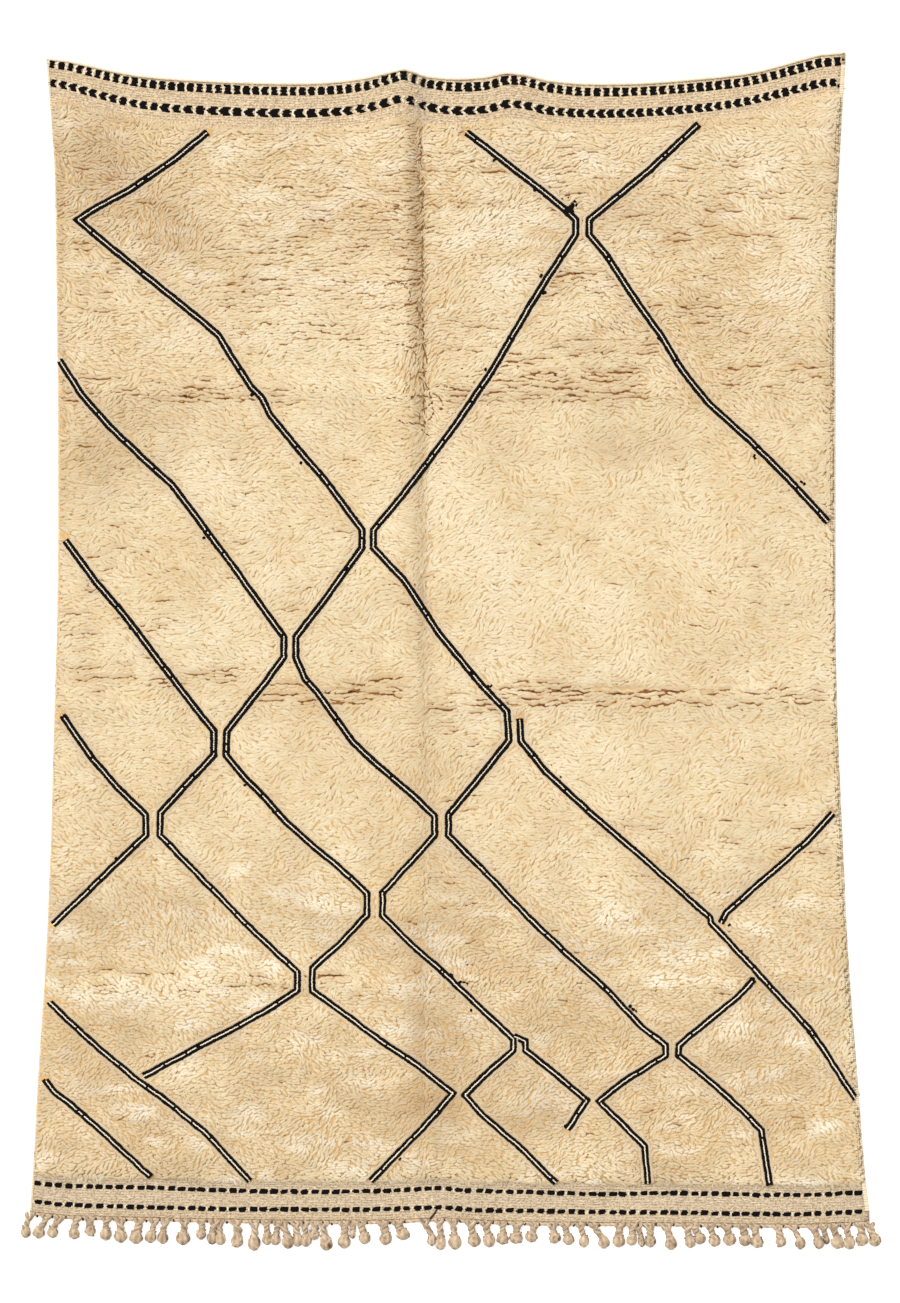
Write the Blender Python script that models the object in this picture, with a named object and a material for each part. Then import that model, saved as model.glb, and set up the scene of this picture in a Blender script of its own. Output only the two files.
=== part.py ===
"""A hand-knotted wool rug lying flat on the floor: one cloth and its knotted fringe.

Metres, +Z up. The plain end points to +Y and the fringed end to -Y. The underside rests on z = 0,
apart from where a fold lifts it, and the middle of the whole outline is on the Z axis.
"""

from collections import namedtuple
import math
import random

import bmesh
import bpy
from mathutils import Vector, geometry, noise

MM = 0.001

# Driving sizes, in millimetres. X runs across the rug and Y along it, from its middle.
WEAVE = 4.0  # thickness of the flat-woven ends and selvedges
PILE = 18.0  # height of the pile field
RIM_SHARE = 0.78  # pile height at its rim, as a share of the field's
RIM_RUN = 7.0  # how far the pile's wall leans in from its foot
LUMP = 2.6  # height of the pile's lumps
LUMP_SIZE = 95.0
SWELL = 2.2  # height of the broad swells in the field
SWELL_SIZE = 420.0
LEFT_SELVEDGE = 5.0
RIGHT_SELVEDGE = 11.0
LOWER_BAND = 97.0  # flat-woven end at the fringe
GAP = 0.3  # between the cloth and its fringe

# The sides, by the height that each row of the grid has on the rug's middle line.
Side = namedtuple("Side", "y left right")
SIDES = (
    Side(1438, -1011, 992),
    Side(1320, -1003, 985),
    Side(1150, -990, 974),
    Side(880, -985, 963),
    Side(430, -981, 961),
    Side(60, -984, 965),
    Side(-170, -991, 970),
    Side(-470, -999, 983),
    Side(-770, -1012, 998),
    Side(-1070, -1031, 1021),
    Side(-1300, -1043, 1039),
    Side(-1430, -1053, 1055),
)

End = namedtuple("End", "x y")
UPPER_END = (
    End(-1005, 1486),
    End(-950, 1479),
    End(-875, 1462),
    End(-775, 1443),
    End(-600, 1430),
    End(-375, 1424),
    End(-250, 1431),
    End(-175, 1443),
    End(-118, 1457),
    End(-60, 1442),
    End(30, 1435),
    End(110, 1442),
    End(158, 1453),
    End(215, 1437),
    End(325, 1424),
    End(475, 1425),
    End(625, 1436),
    End(760, 1452),
    End(860, 1478),
    End(925, 1496),
    End(988, 1501),
)
LOWER_END = (
    End(-1053, -1403),
    End(-975, -1412),
    End(-750, -1418),
    End(-375, -1425),
    End(-130, -1424),
    End(-40, -1418),
    End(60, -1424),
    End(250, -1429),
    End(625, -1432),
    End(875, -1435),
    End(1055, -1428),
)

Band = namedtuple("Band", "x height")
UPPER_BAND = (
    Band(-1005, 98),
    Band(-850, 110),
    Band(-375, 118),
    Band(-118, 121),
    Band(150, 117),
    Band(500, 108),
    Band(988, 103),
)

# A fold is a run of crests down the rug. Left and right are how far its flanks reach.
Crest = namedtuple("Crest", "y x rise left right")
MAIN_FOLD = (
    Crest(1460, -118, 24, 170, 55),
    Crest(1130, -106, 20, 150, 47),
    Crest(630, -95, 16, 140, 41),
    Crest(230, -88, 13, 130, 40),
    Crest(-120, -75, 9, 120, 42),
    Crest(-620, -62, 6, 110, 38),
    Crest(-1120, -50, 5, 90, 38),
    Crest(-1440, -42, 6, 70, 42),
)
SHOULDER_FOLD = (
    Crest(1460, 40, 8, 103, 110),
    Crest(1130, 56, 8, 115, 150),
    Crest(630, 62, 7, 116, 160),
    Crest(230, 66, 5, 114, 160),
    Crest(-120, 70, 3, 103, 160),
    Crest(-620, 76, 0, 100, 160),
)
SHORT_FOLD = (
    Crest(1460, 158, 13, 80, 70),
    Crest(1300, 157, 8, 75, 70),
    Crest(1130, 155, 0, 70, 70),
)
FOLDS = (MAIN_FOLD, SHOULDER_FOLD, SHORT_FOLD)

# Where the rug was folded for storage, its pile stands up in a low ridge across it.
Crease = namedtuple("Crease", "y rise half_width wave")
CREASES = (
    Crease(-835, 3.5, 50, 9),
    Crease(-135, 4.5, 55, 8),
    Crease(655, 4.5, 60, 10),
)
CREASE_WAVE_LENGTH = 620.0

# The grid's cells between its main lines, across the rug and along it.
Cells = namedtuple("Cells", "selvedge left slope rise right")
ACROSS = Cells(selvedge=1, left=19, slope=2, rise=3, right=19)
Lengths = namedtuple("Lengths", "lower_band to_low_crease to_mid_crease to_high_crease to_rim upper_band")
ALONG = Lengths(2, 10, 14, 16, 14, 3)
UNDERSIDE_STRIDE = 3  # only every third row of the pile field is needed under the folds
SAME_PLACE = 1e-6  # points of the underside that are nearer than this are one

# Locks of pile that lean out over the weave at the rim of the field.
LOCK_REACH = (2.0, 8.5)
LOCK_LIFT = (5.6, 8.5)  # height of a lock's tip over the cloth's underside

# The fringe: an edge cord with tassels that end in a round knot.
EDGE_CORD = (7.0, 5.0)  # width and height
ROOT_WIDTH = 13.0
TASSEL_LENGTH = (51.0, 61.0)
FRINGE_FLARE = 1.022  # the tassels' ends spread a little wider than their roots
KNOT_CLEARANCE = 5.0  # between neighbouring knots

Run = namedtuple("Run", "first last count")
FRINGE_RUNS = (
    Run(-1060, -997, 3),
    Run(-940, -720, 7),
    Run(-666, -576, 4),
    Run(-532, -309, 9),
    Run(-266, -213, 3),
    Run(-162, -118, 2),
    Run(-43, 206, 8),
    Run(261, 334, 3),
    Run(384, 501, 5),
    Run(551, 768, 7),
    Run(827, 875, 2),
    Run(922, 1064, 6),
)

Section = namedtuple("Section", "along width height")
TASSEL = (
    Section(0.24, 15, 8),
    Section(0.48, 11, 8),
    Section(0.60, 22, 14),
    Section(0.80, 30, 18),
    Section(1.00, 15, 10),
)
CROWN_SHARE = 0.6  # width of a strand's top, as a share of its foot

WOOL = (0.79, 0.66, 0.43, 1.0)
COTTON = (0.66, 0.53, 0.38, 1.0)
ROUGHNESS = 0.95


def read(table, column, at):
    """One column of a table at a place between its rows, on a smooth curve through them."""
    rows = sorted(table)
    places = [row[0] for row in rows]
    values = [getattr(row, column) for row in rows]
    if at <= places[0]:
        return values[0]
    if at >= places[-1]:
        return values[-1]
    k = max(i for i, place in enumerate(places) if place <= at)
    span = places[k + 1] - places[k]
    t = (at - places[k]) / span

    def slope(i):
        low, high = max(i - 1, 0), min(i + 1, len(rows) - 1)
        return (values[high] - values[low]) / (places[high] - places[low]) * span

    rest = 1 - t
    return (
        values[k] * (1 + 2 * t) * rest**2
        + slope(k) * t * rest**2
        + values[k + 1] * (3 - 2 * t) * t**2
        - slope(k + 1) * t**2 * rest
    )


def bump(distance, reach):
    """1 at no distance, easing to 0 at the reach."""
    t = min(abs(distance) / reach, 1.0)
    return (1 - t) ** 2 * (1 + 2 * t)


def lift(x, y):
    """How far the folds raise the cloth off the floor."""
    total = 0.0
    for fold in FOLDS:
        if y < min(row.y for row in fold) - 1:
            continue
        off = x - read(fold, "x", y)
        reach = read(fold, "left" if off < 0 else "right", y)
        total += read(fold, "rise", y) * bump(off, reach)
    return total


def crease_line(crease, x):
    return crease.y + crease.wave * math.sin(x / CREASE_WAVE_LENGTH * math.tau)


def pile_height(x, y):
    lumps = LUMP * noise.noise(Vector((x, y, 0)) / LUMP_SIZE)
    swells = SWELL * noise.noise(Vector((x, y, LUMP_SIZE)) / SWELL_SIZE)
    creases = sum(c.rise * bump(y - crease_line(c, x), c.half_width) for c in CREASES)
    return PILE + lumps + swells + creases


def divided(stops, cells):
    """Places along a line: each stretch between two stops divided into its cells."""
    places = [stops[0]]
    for low, high, count in zip(stops, stops[1:], cells):
        places += [low + (high - low) * k / count for k in range(1, count + 1)]
    return places


def column_places(y):
    """X of each grid line that runs down the rug, at one height."""
    left = read(SIDES, "left", y)
    right = read(SIDES, "right", y)
    ridge = read(MAIN_FOLD, "x", y)
    stops = (
        left,
        left + LEFT_SELVEDGE,
        left + LEFT_SELVEDGE + RIM_RUN,
        ridge,
        ridge + read(MAIN_FOLD, "right", y),
        read(SHOULDER_FOLD, "x", y),
        right - RIGHT_SELVEDGE - RIM_RUN,
        right - RIGHT_SELVEDGE,
        right,
    )
    cells = (ACROSS.selvedge, 1, ACROSS.left, ACROSS.slope, ACROSS.rise, ACROSS.right, 1, ACROSS.selvedge)
    return divided(stops, cells)


def row_places(x):
    """Y of each grid line that runs across the rug, at one place across it."""
    low = read(LOWER_END, "y", x)
    high = read(UPPER_END, "y", x)
    foot = high - read(UPPER_BAND, "height", x)
    stops = (
        low,
        low + LOWER_BAND,
        low + LOWER_BAND + RIM_RUN,
        *(crease_line(crease, x) for crease in CREASES),
        foot - RIM_RUN,
        foot,
        high,
    )
    cells = (ALONG.lower_band, 1, *ALONG[1:5], 1, ALONG.upper_band)
    return divided(stops, cells)


def point(x, y, z):
    return Vector((x, y, z)) * MM


class ClothGrid:
    """The cloth's upper face as a grid of points, in rows from the fringed end up."""

    def __init__(self):
        heights = row_places(0)
        self.rows = []
        for k, height in enumerate(heights):
            self.rows.append([(x, row_places(x)[k]) for x in column_places(height)])
        self.last_row = len(self.rows) - 1
        self.last_column = len(self.rows[0]) - 1

    def depth_in_pile(self, row, column):
        """Grid lines in from the foot of the pile's wall: 0 and under is woven flat."""
        return min(
            row - ALONG.lower_band,
            self.last_row - ALONG.upper_band - row,
            column - ACROSS.selvedge,
            self.last_column - ACROSS.selvedge - column,
        )

    def thickness(self, row, column):
        depth = self.depth_in_pile(row, column)
        if depth <= 0:
            return WEAVE
        height = pile_height(*self.rows[row][column])
        return height * RIM_SHARE if depth == 1 else height

    def wall_side(self, row, column):
        """Which way a cell of the pile's wall faces, or None for any other cell."""
        across = {ACROSS.selvedge: -1, self.last_column - ACROSS.selvedge - 1: 1}.get(column, 0)
        along = {ALONG.lower_band: -1, self.last_row - ALONG.upper_band - 1: 1}.get(row, 0)
        in_columns = ACROSS.selvedge <= column < self.last_column - ACROSS.selvedge
        in_rows = ALONG.lower_band <= row < self.last_row - ALONG.upper_band
        if in_columns and in_rows and bool(across) != bool(along):
            return Vector((across, along, 0))
        return None

    def border(self):
        """Row and column of each border point, once round."""
        rows, columns = range(self.last_row + 1), range(self.last_column + 1)
        lower = [(0, c) for c in columns]
        right = [(r, self.last_column) for r in rows]
        upper = [(self.last_row, c) for c in reversed(columns)]
        left = [(r, 0) for r in reversed(rows)]
        return lower[:-1] + right[:-1] + upper[:-1] + left[:-1]


def add_lock(mesh, corners, side, chance):
    """Four faces that draw a cell of the pile's wall out into the tip of a lock."""
    middle = sum((corner.co for corner in corners), Vector()) / len(corners)
    foot = min(corner.co.z for corner in corners) - WEAVE * MM
    tip = middle + side * chance.uniform(*LOCK_REACH) * MM
    tip.z = foot + chance.uniform(*LOCK_LIFT) * MM
    end = mesh.verts.new(tip)
    for a, b in zip(corners, corners[1:] + corners[:1]):
        mesh.faces.new((a, b, end))


def add_upper_face(mesh, grid):
    chance = random.Random(11)
    points = []
    for r, row in enumerate(grid.rows):
        places = [(x, y, lift(x, y) + grid.thickness(r, c)) for c, (x, y) in enumerate(row)]
        points.append([mesh.verts.new(point(*place)) for place in places])
    for r in range(grid.last_row):
        for c in range(grid.last_column):
            corners = [points[r][c], points[r][c + 1], points[r + 1][c + 1], points[r + 1][c]]
            side = grid.wall_side(r, c)
            if side:
                reach = min(1.0, LEFT_SELVEDGE / LOCK_REACH[1]) if side.x < 0 else 1.0
                add_lock(mesh, corners, side * reach, chance)
            else:
                mesh.faces.new(corners)
    return points


def add_underside(mesh, grid, upper):
    """Flat on the floor, apart from under the folds, and joined to the upper face all round."""
    border = grid.border()
    places = [grid.rows[r][c] for r, c in border]
    for r in range(1, grid.last_row):
        in_band = grid.depth_in_pile(r, grid.last_column // 2) <= 1
        if in_band or r % UNDERSIDE_STRIDE == 0:
            places += [
                (x, y)
                for c, (x, y) in enumerate(grid.rows[r][1:-1], 1)
                if any(lift(*grid.rows[r][n]) > 0 for n in (c - 1, c, c + 1))
            ]
    loop = list(range(len(border)))
    flat = [Vector(place) for place in places]
    inside_only = 1
    found, _, faces, sources, _, _ = geometry.delaunay_2d_cdt(flat, [], [loop], inside_only, SAME_PLACE)
    lower = {}
    for k, spot in enumerate(found):
        place = places[sources[k][0]] if sources[k] else tuple(spot)
        lower[k] = mesh.verts.new(point(*place, lift(*place)))
    for face in faces:
        mesh.faces.new([lower[k] for k in reversed(face)])
    by_source = {sources[k][0]: lower[k] for k in lower if sources[k]}
    for k, (r, c) in enumerate(border):
        n = (k + 1) % len(border)
        above, next_above = upper[r][c], upper[border[n][0]][border[n][1]]
        mesh.faces.new((by_source[k], by_source[n], next_above, above))


def tassel_places():
    """X of each knot, with the distance to its nearest neighbour in the same run."""
    for run in FRINGE_RUNS:
        pitch = (run.last - run.first) / (run.count - 1)
        for k in range(run.count):
            yield run.first + pitch * k, pitch


def cord_section(mesh, x):
    """The edge cord's four corners at one place: inner and outer, lower and upper."""
    edge = read(LOWER_END, "y", x)
    floor = lift(x, edge)
    inner, outer = edge - GAP, edge - GAP - EDGE_CORD[0]
    low, high = floor, floor + EDGE_CORD[1]
    places = ((inner, low), (outer, low), (outer, high), (inner, high))
    return [mesh.verts.new(point(x, y, z)) for y, z in places]


def add_tassel(mesh, left, right, knot_x, pitch, length):
    """A four-sided strand drawn out of the edge cord, swelling to its knot, level on the floor."""
    ring = [left[1], right[1], right[2], left[2]]
    root = (left[1].co + right[1].co) / 2 / MM
    for section in TASSEL:
        x = root.x + (knot_x - root.x) * section.along
        y = root.y - length * section.along
        half = min(section.width, pitch - KNOT_CLEARANCE) / 2
        crown = half * CROWN_SHARE
        places = ((x - half, 0), (x + half, 0), (x + crown, section.height), (x - crown, section.height))
        nearer = ring
        ring = [mesh.verts.new(point(px, y, z)) for px, z in places]
        for k in range(4):
            n = (k + 1) % 4
            mesh.faces.new((nearer[k], nearer[n], ring[n], ring[k]))
    mesh.faces.new(ring)


def add_cord_stretch(mesh, left, right, open_side):
    """The cord's faces between two sections. The outer one is left open where a tassel starts."""
    for k in range(4):
        if k == 1 and open_side:
            continue
        n = (k + 1) % 4
        mesh.faces.new((left[k], right[k], right[n], left[n]))


def finished(name, mesh, colour):
    """An object from the mesh, with faces out, flat triangles and its own material."""
    bmesh.ops.recalc_face_normals(mesh, faces=mesh.faces)
    bmesh.ops.triangulate(mesh, faces=mesh.faces)
    data = bpy.data.meshes.new(name)
    mesh.to_mesh(data)
    mesh.free()
    obj = bpy.data.objects.new(name, data)
    bpy.context.scene.collection.objects.link(obj)
    material = bpy.data.materials.new(name)
    material.use_nodes = True
    shader = material.node_tree.nodes["Principled BSDF"]
    shader.inputs["Base Color"].default_value = colour
    shader.inputs["Roughness"].default_value = ROUGHNESS
    shader.inputs["Metallic"].default_value = 0.0
    data.materials.append(material)
    return obj


def make_rug():
    mesh = bmesh.new()
    grid = ClothGrid()
    upper = add_upper_face(mesh, grid)
    add_underside(mesh, grid, upper)
    return finished("rug", mesh, WOOL)


def make_fringe():
    mesh = bmesh.new()
    chance = random.Random(7)
    ends = [min(SIDES).left, min(SIDES).right]
    before = cord_section(mesh, ends[0])
    mesh.faces.new(before)
    for knot_x, pitch in tassel_places():
        root_x = knot_x / FRINGE_FLARE
        left = cord_section(mesh, root_x - ROOT_WIDTH / 2)
        right = cord_section(mesh, root_x + ROOT_WIDTH / 2)
        add_cord_stretch(mesh, before, left, open_side=False)
        add_cord_stretch(mesh, left, right, open_side=True)
        add_tassel(mesh, left, right, knot_x, pitch, chance.uniform(*TASSEL_LENGTH))
        before = right
    end = cord_section(mesh, ends[1])
    add_cord_stretch(mesh, before, end, open_side=False)
    mesh.faces.new(list(reversed(end)))
    return finished("fringe", mesh, COTTON)


def centre(objects):
    """Moves the meshes together, so that their outline's middle is on the Z axis."""
    corners = [vertex.co for obj in objects for vertex in obj.data.vertices]
    middle = Vector(
        (max(co[axis] for co in corners) + min(co[axis] for co in corners)) / 2 for axis in (0, 1)
    )
    for co in corners:
        co.xy -= middle


def main():
    for obj in list(bpy.data.objects):
        bpy.data.objects.remove(obj)
    centre((make_rug(), make_fringe()))


main()
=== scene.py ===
"""The looks of a hand-knotted wool rug that lies flat: its pile, lines, woven bands and fringe.

Lengths are in millimetres, X across the rug and Y along it, measured from the cloth's middle.
They turn into metres where a mesh is made. Heights and edges come from the fixed frame's solids.
"""

from collections import namedtuple
import math

import bpy
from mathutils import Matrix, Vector
from mathutils.bvhtree import BVHTree
import numpy as np

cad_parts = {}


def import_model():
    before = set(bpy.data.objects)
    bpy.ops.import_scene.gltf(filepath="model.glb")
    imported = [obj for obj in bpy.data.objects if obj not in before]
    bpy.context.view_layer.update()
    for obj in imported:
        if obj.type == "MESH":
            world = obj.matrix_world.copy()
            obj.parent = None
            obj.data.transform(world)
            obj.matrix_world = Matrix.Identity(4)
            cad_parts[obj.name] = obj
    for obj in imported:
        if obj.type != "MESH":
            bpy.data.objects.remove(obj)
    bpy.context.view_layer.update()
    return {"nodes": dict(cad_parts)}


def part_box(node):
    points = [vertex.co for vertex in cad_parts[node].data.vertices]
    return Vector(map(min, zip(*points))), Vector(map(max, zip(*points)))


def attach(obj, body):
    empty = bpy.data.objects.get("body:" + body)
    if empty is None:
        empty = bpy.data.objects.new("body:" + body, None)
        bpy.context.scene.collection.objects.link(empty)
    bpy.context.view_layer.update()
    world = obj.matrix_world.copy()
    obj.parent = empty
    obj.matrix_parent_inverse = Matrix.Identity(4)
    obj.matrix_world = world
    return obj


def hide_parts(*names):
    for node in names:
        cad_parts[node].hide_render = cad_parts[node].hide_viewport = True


MM = 0.001
BODY = "root"

# The photograph's scale and middle, which the places listed below are given in.
PIXEL = 2.5  # millimetres of rug for each pixel
PHOTO_SIZE = (900, 1303)
PHOTO_MIDDLE = (450, 652)

# Smooth random waves: how high they are, about how far apart, and their seed.
Wave = namedtuple("Wave", "height size seed")
LATTICE = 64  # random values each way before they repeat
LATTICE_START = 1000  # keeps every place on the lattice above 0

# The cloth's own extremes, which tie the places below to the fixed frame.
CLOTH_LEFT = -1052.4
CLOTH_TOP = 1501.0

# How the frame's cloth is sampled.
SAMPLE_STEP = 8.0
SPREAD_STEPS = 4
STATION_STEP = 10.0
SEARCH_STEPS = 11
PILE_THICKNESS = 9.0  # the cloth is pile where it is thicker than this
RAY_HEIGHT = 0.3  # metres

# From where to where each edge is looked for, on which line inside the cloth, and how far out.
Spans = namedtuple("Spans", "up up_start down down_start sides side_start")
EDGE_SPANS = Spans((-1003, 984), 1415, (-1048, 1050), 1380, (-1400, 1476), 965)
FOOT_SPANS = Spans((-960, 950), 1250, (-1010, 1010), 1250, (-1310, 1300), 900)
END_REACH = 300
SIDE_REACH = 200
FOOT_SMOOTHING = 3  # stations on each side that the pile's foot is evened with

# The cloth sheet under the pile.
GROUND_DROP = 2.2  # how far the matted roots of the pile lie under its tips
GROUND_INSET = 3  # how far inside the pile's foot the matted roots begin
LEAST_THICKNESS = 2.2
BAND_ROW = 8.0
FIELD_ROW = 32.0
COLUMN_SHARE = 0.0095  # of the rug's width, between two columns of the sheet's points
RIM_READ = 2.0  # how far in from the sheet's sides their heights are read
COCKLE = Wave(0.9, 55, 31)  # the small waves in the flat-woven bands

# Where the lower part of the rug begins and is fully reached, below its middle.
LOWER_PART = (250, 650)

# Points of a lock or a stitch: shares of its length and width, its level, and how deep it is, which sets
# the painted shade of its hollows.
Corner = namedtuple("Corner", "along across level depth")

# A lock of pile across its width: a soft ridge, a little steeper on its lower side, where it gets more
# painted shade.
LOCK_RIM = Corner(0, 0.50, -2.5, 0.60)
LOCK_RIDGE = Corner(0, -0.04, 0.0, 0.0)
LOCK_FOOT = Corner(0, -0.50, -3.2, 0.95)
LOCK_TIP = Corner(0.5, 0.0, -2.4, 0.6)
LOCK_SECTIONS = (-0.27, 0.27)
LOCK = (
    (-LOCK_TIP.along, LOCK_TIP),
    *((share, part) for share in LOCK_SECTIONS for part in (LOCK_RIM, LOCK_RIDGE, LOCK_FOOT)),
    (LOCK_TIP.along, LOCK_TIP),
)

# A stitch or knot: the same on both sides, with a tip at each end. A bar's ends are blunter.
STITCH = tuple(Corner(*row) for row in (
    (-0.50, 0.0, -1.3, 0.5), (-0.33, 0.5, -1.8, 1.0), (-0.28, 0.0, 0.0, 0.0), (-0.33, -0.5, -1.8, 1.0),
    (0.33, 0.5, -1.8, 1.0), (0.28, 0.0, 0.0, 0.0), (0.33, -0.5, -1.8, 1.0), (0.50, 0.0, -1.3, 0.5),
))
BAR_STITCH = tuple(Corner(*row) for row in (
    (-0.50, 0.0, -1.6, 0.5), (-0.46, 0.5, -1.8, 1.0), (-0.40, 0.0, 0.0, 0.0), (-0.46, -0.5, -1.8, 1.0),
    (0.46, 0.5, -1.8, 1.0), (0.40, 0.0, 0.0, 0.0), (0.46, -0.5, -1.8, 1.0), (0.50, 0.0, -1.6, 0.5),
))
ROOF_FACES = np.array(
    ((0, 2, 1), (0, 3, 2), (1, 2, 5), (1, 5, 4), (2, 3, 6), (2, 6, 5), (7, 4, 5), (7, 5, 6)), np.int32
)

# The locks of the pile: each is a curved strand of wool that lies along its neighbours.
LOCK_ROW = 6.4
LOCK_PITCH = 11.8
LOCKS_REACH = 1060
LOCK_LENGTH = (16.0, 26.0)
LOWER_SHORTENING = 0.2  # how much shorter the locks are in the lower part
LOCK_WIDTH = (7.0, 9.2)
LOCK_RISE = 0.9
DEEPEST = 1.3  # the highest depth value a lock's point may have
ROW_WAVES = (Wave(6, 95, 71), Wave(3, 33, 72))
PILE_PIECES = 5
RIM_INSET = 2.0
CROWN_INSET = 15.0  # how far in from its foot the pile has its full height
LEFT_OVERHANG = 3.0  # how far the pile may reach out over the selvedges
RIGHT_OVERHANG = 9.0
SPECK_TRIES = 4400

# The locks that lean out over the woven ends: by end, their direction in degrees and reach in X.
Rim = namedtuple("Rim", "side way lean reach")
RIMS = (Rim("up", 1, 96, 975), Rim("down", -1, 118, 1025))
RIM_PITCH = 7.5
RIM_SHARE = 0.7  # how far they turn to that direction

# The double lines: two strands of black knots with a row of pale knots between them.
KNOT_PITCH = 4.6
LINE_CLEARANCE = 13.6  # from a line's middle to the nearest lock's
LINE_INFLUENCE = 28.0
LINE_DEPTH = 0.6  # how much painted shade the hollows of the lines' knots get, as a share of a stitch's
BEAD_SHARE = 0.96  # how many places along a line's middle have their pale knot

# A strand's size, and what shares of its width and length its knots have in the lower part.
Strand = namedtuple("Strand", "offset width length lower_width lower_length lift rise pitch shape")
BLACK_STRAND = Strand(5.1, 8.4, 7.4, 0.81, 1.0, 1.9, 1.5, KNOT_PITCH, BAR_STITCH)
BED_STRAND = Strand(0.0, 5.6, 7.4, 0.9, 1.0, 0.5, 0.5, KNOT_PITCH, BAR_STITCH)
MIDDLE_STRAND = Strand(0.0, 3.3, 6.3, 1.0, 1.25, 2.5, 1.2, 6.2, STITCH)
# The pale knots that close the pile up against the black strands.
SHOULDER_STRAND = Strand(12.0, 8.5, 7.6, 1.0, 1.0, 0.1, 1.4, KNOT_PITCH, STITCH)

# Each double line's middle, as places read in the photograph's pixels.
LINES = {
    "left_zigzag": (
        (208, 132), (173, 161), (130, 190), (93, 210), (78, 220), (104, 242), (157, 285), (202, 321),
        (219, 336), (230, 355), (252, 388), (262, 398), (270, 415), (304, 456), (325, 480), (362, 530),
        (362, 548), (323, 602), (296, 637), (296, 657), (305, 679), (317, 692), (353, 742), (375, 763),
        (413, 795), (434.5, 816), (434.5, 835), (409.5, 863), (382.5, 893), (382.5, 915), (409, 942),
        (431, 961), (463, 991), (493.5, 1020), (513, 1039), (513, 1050), (490, 1070), (464.5, 1095),
        (483, 1115), (520, 1147), (555, 1182),
    ),
    "middle_zigzag": (
        (466, 132.5), (515, 170.5), (540, 189.5), (562.5, 208), (575.5, 220), (575.5, 235), (564, 252.5),
        (546, 280), (527.5, 310), (491, 373), (455.5, 425), (401.5, 497), (373.5, 530), (373.5, 548),
        (404, 580), (438, 632.5), (483, 687), (507, 711.5), (509, 740), (480, 777), (448.5, 815),
        (448.5, 835), (480, 867), (541, 930), (567, 953.5), (607, 990), (642, 1027), (665.5, 1045),
        (665.5, 1055), (623, 1082), (599, 1101), (630, 1131.5), (644.5, 1146.5), (648, 1182.5),
    ),
    "upper_right": (
        (698, 125), (649.5, 170), (621, 193.5), (589, 220), (589, 235), (605, 253.5), (637.5, 303.5),
        (660.5, 335), (677.5, 363.5), (689, 380), (709, 404), (749, 440), (785.5, 476.5), (827, 521),
    ),
    "left_upper": (
        (60, 361), (82, 395), (110, 427), (150, 465), (172, 485), (192, 511), (227, 558), (260, 604),
        (284, 637), (284, 657), (265, 683), (227, 731), (226, 755), (245, 778), (265, 798), (286, 822),
        (315.5, 848), (340, 868), (367, 893), (367, 915), (340, 943.5), (312.5, 968), (312, 990),
        (330, 1003), (380, 1040), (418, 1065), (452.5, 1093), (431.5, 1118), (403, 1148), (371.5, 1180),
    ),
    "left_middle": (
        (65, 540), (97, 583), (127, 618), (153, 653), (197, 710), (214, 731), (214, 755), (184, 787),
        (160.5, 813), (160, 835), (192, 868), (254, 931.5), (288, 963), (297.5, 972), (297.5, 990),
        (267, 1010), (233, 1028.5), (193, 1049.5), (145, 1075.5),
    ),
    "left_side": ((62, 715), (93, 759), (119, 789), (146, 815), (146, 835), (123, 857), (54, 924)),
    "long_right": (
        (519.5, 718), (521, 741), (531, 753.5), (545.5, 771.5), (592.5, 815), (641, 856.5), (697, 906.5),
        (710, 917), (711, 923), (751.5, 966.5), (792, 1010), (810, 1030), (821.5, 1046.5), (838, 1072),
        (855, 1098),
    ),
    "right_branch": (
        (832, 814), (806, 842), (792.5, 854), (758.5, 884), (726.5, 912), (721.5, 922),
    ),
    "short_hook": ((513, 1036), (525.5, 1041), (525.5, 1050), (563, 1080), (586.5, 1100), (568, 1128)),
    "right_zigzag": (
        (753, 980), (736.5, 997.5), (716.5, 1014), (678.5, 1045), (678.5, 1055), (713.5, 1084),
        (745, 1113), (761, 1130), (766, 1165), (769.5, 1184),
    ),
    "lower_left": (
        (50, 1002), (71.5, 1023), (103, 1051.5), (133, 1076.5), (163, 1098), (208, 1134.5), (222, 1150),
        (249, 1180),
    ),
    "corner": ((45, 1080), (53, 1090), (70, 1103.5), (103, 1132), (135, 1162), (150, 1176)),
}

# Where a double line starts again beside another, its inner strand is left out up to this length.
HOOK_START = 22.0

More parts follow.
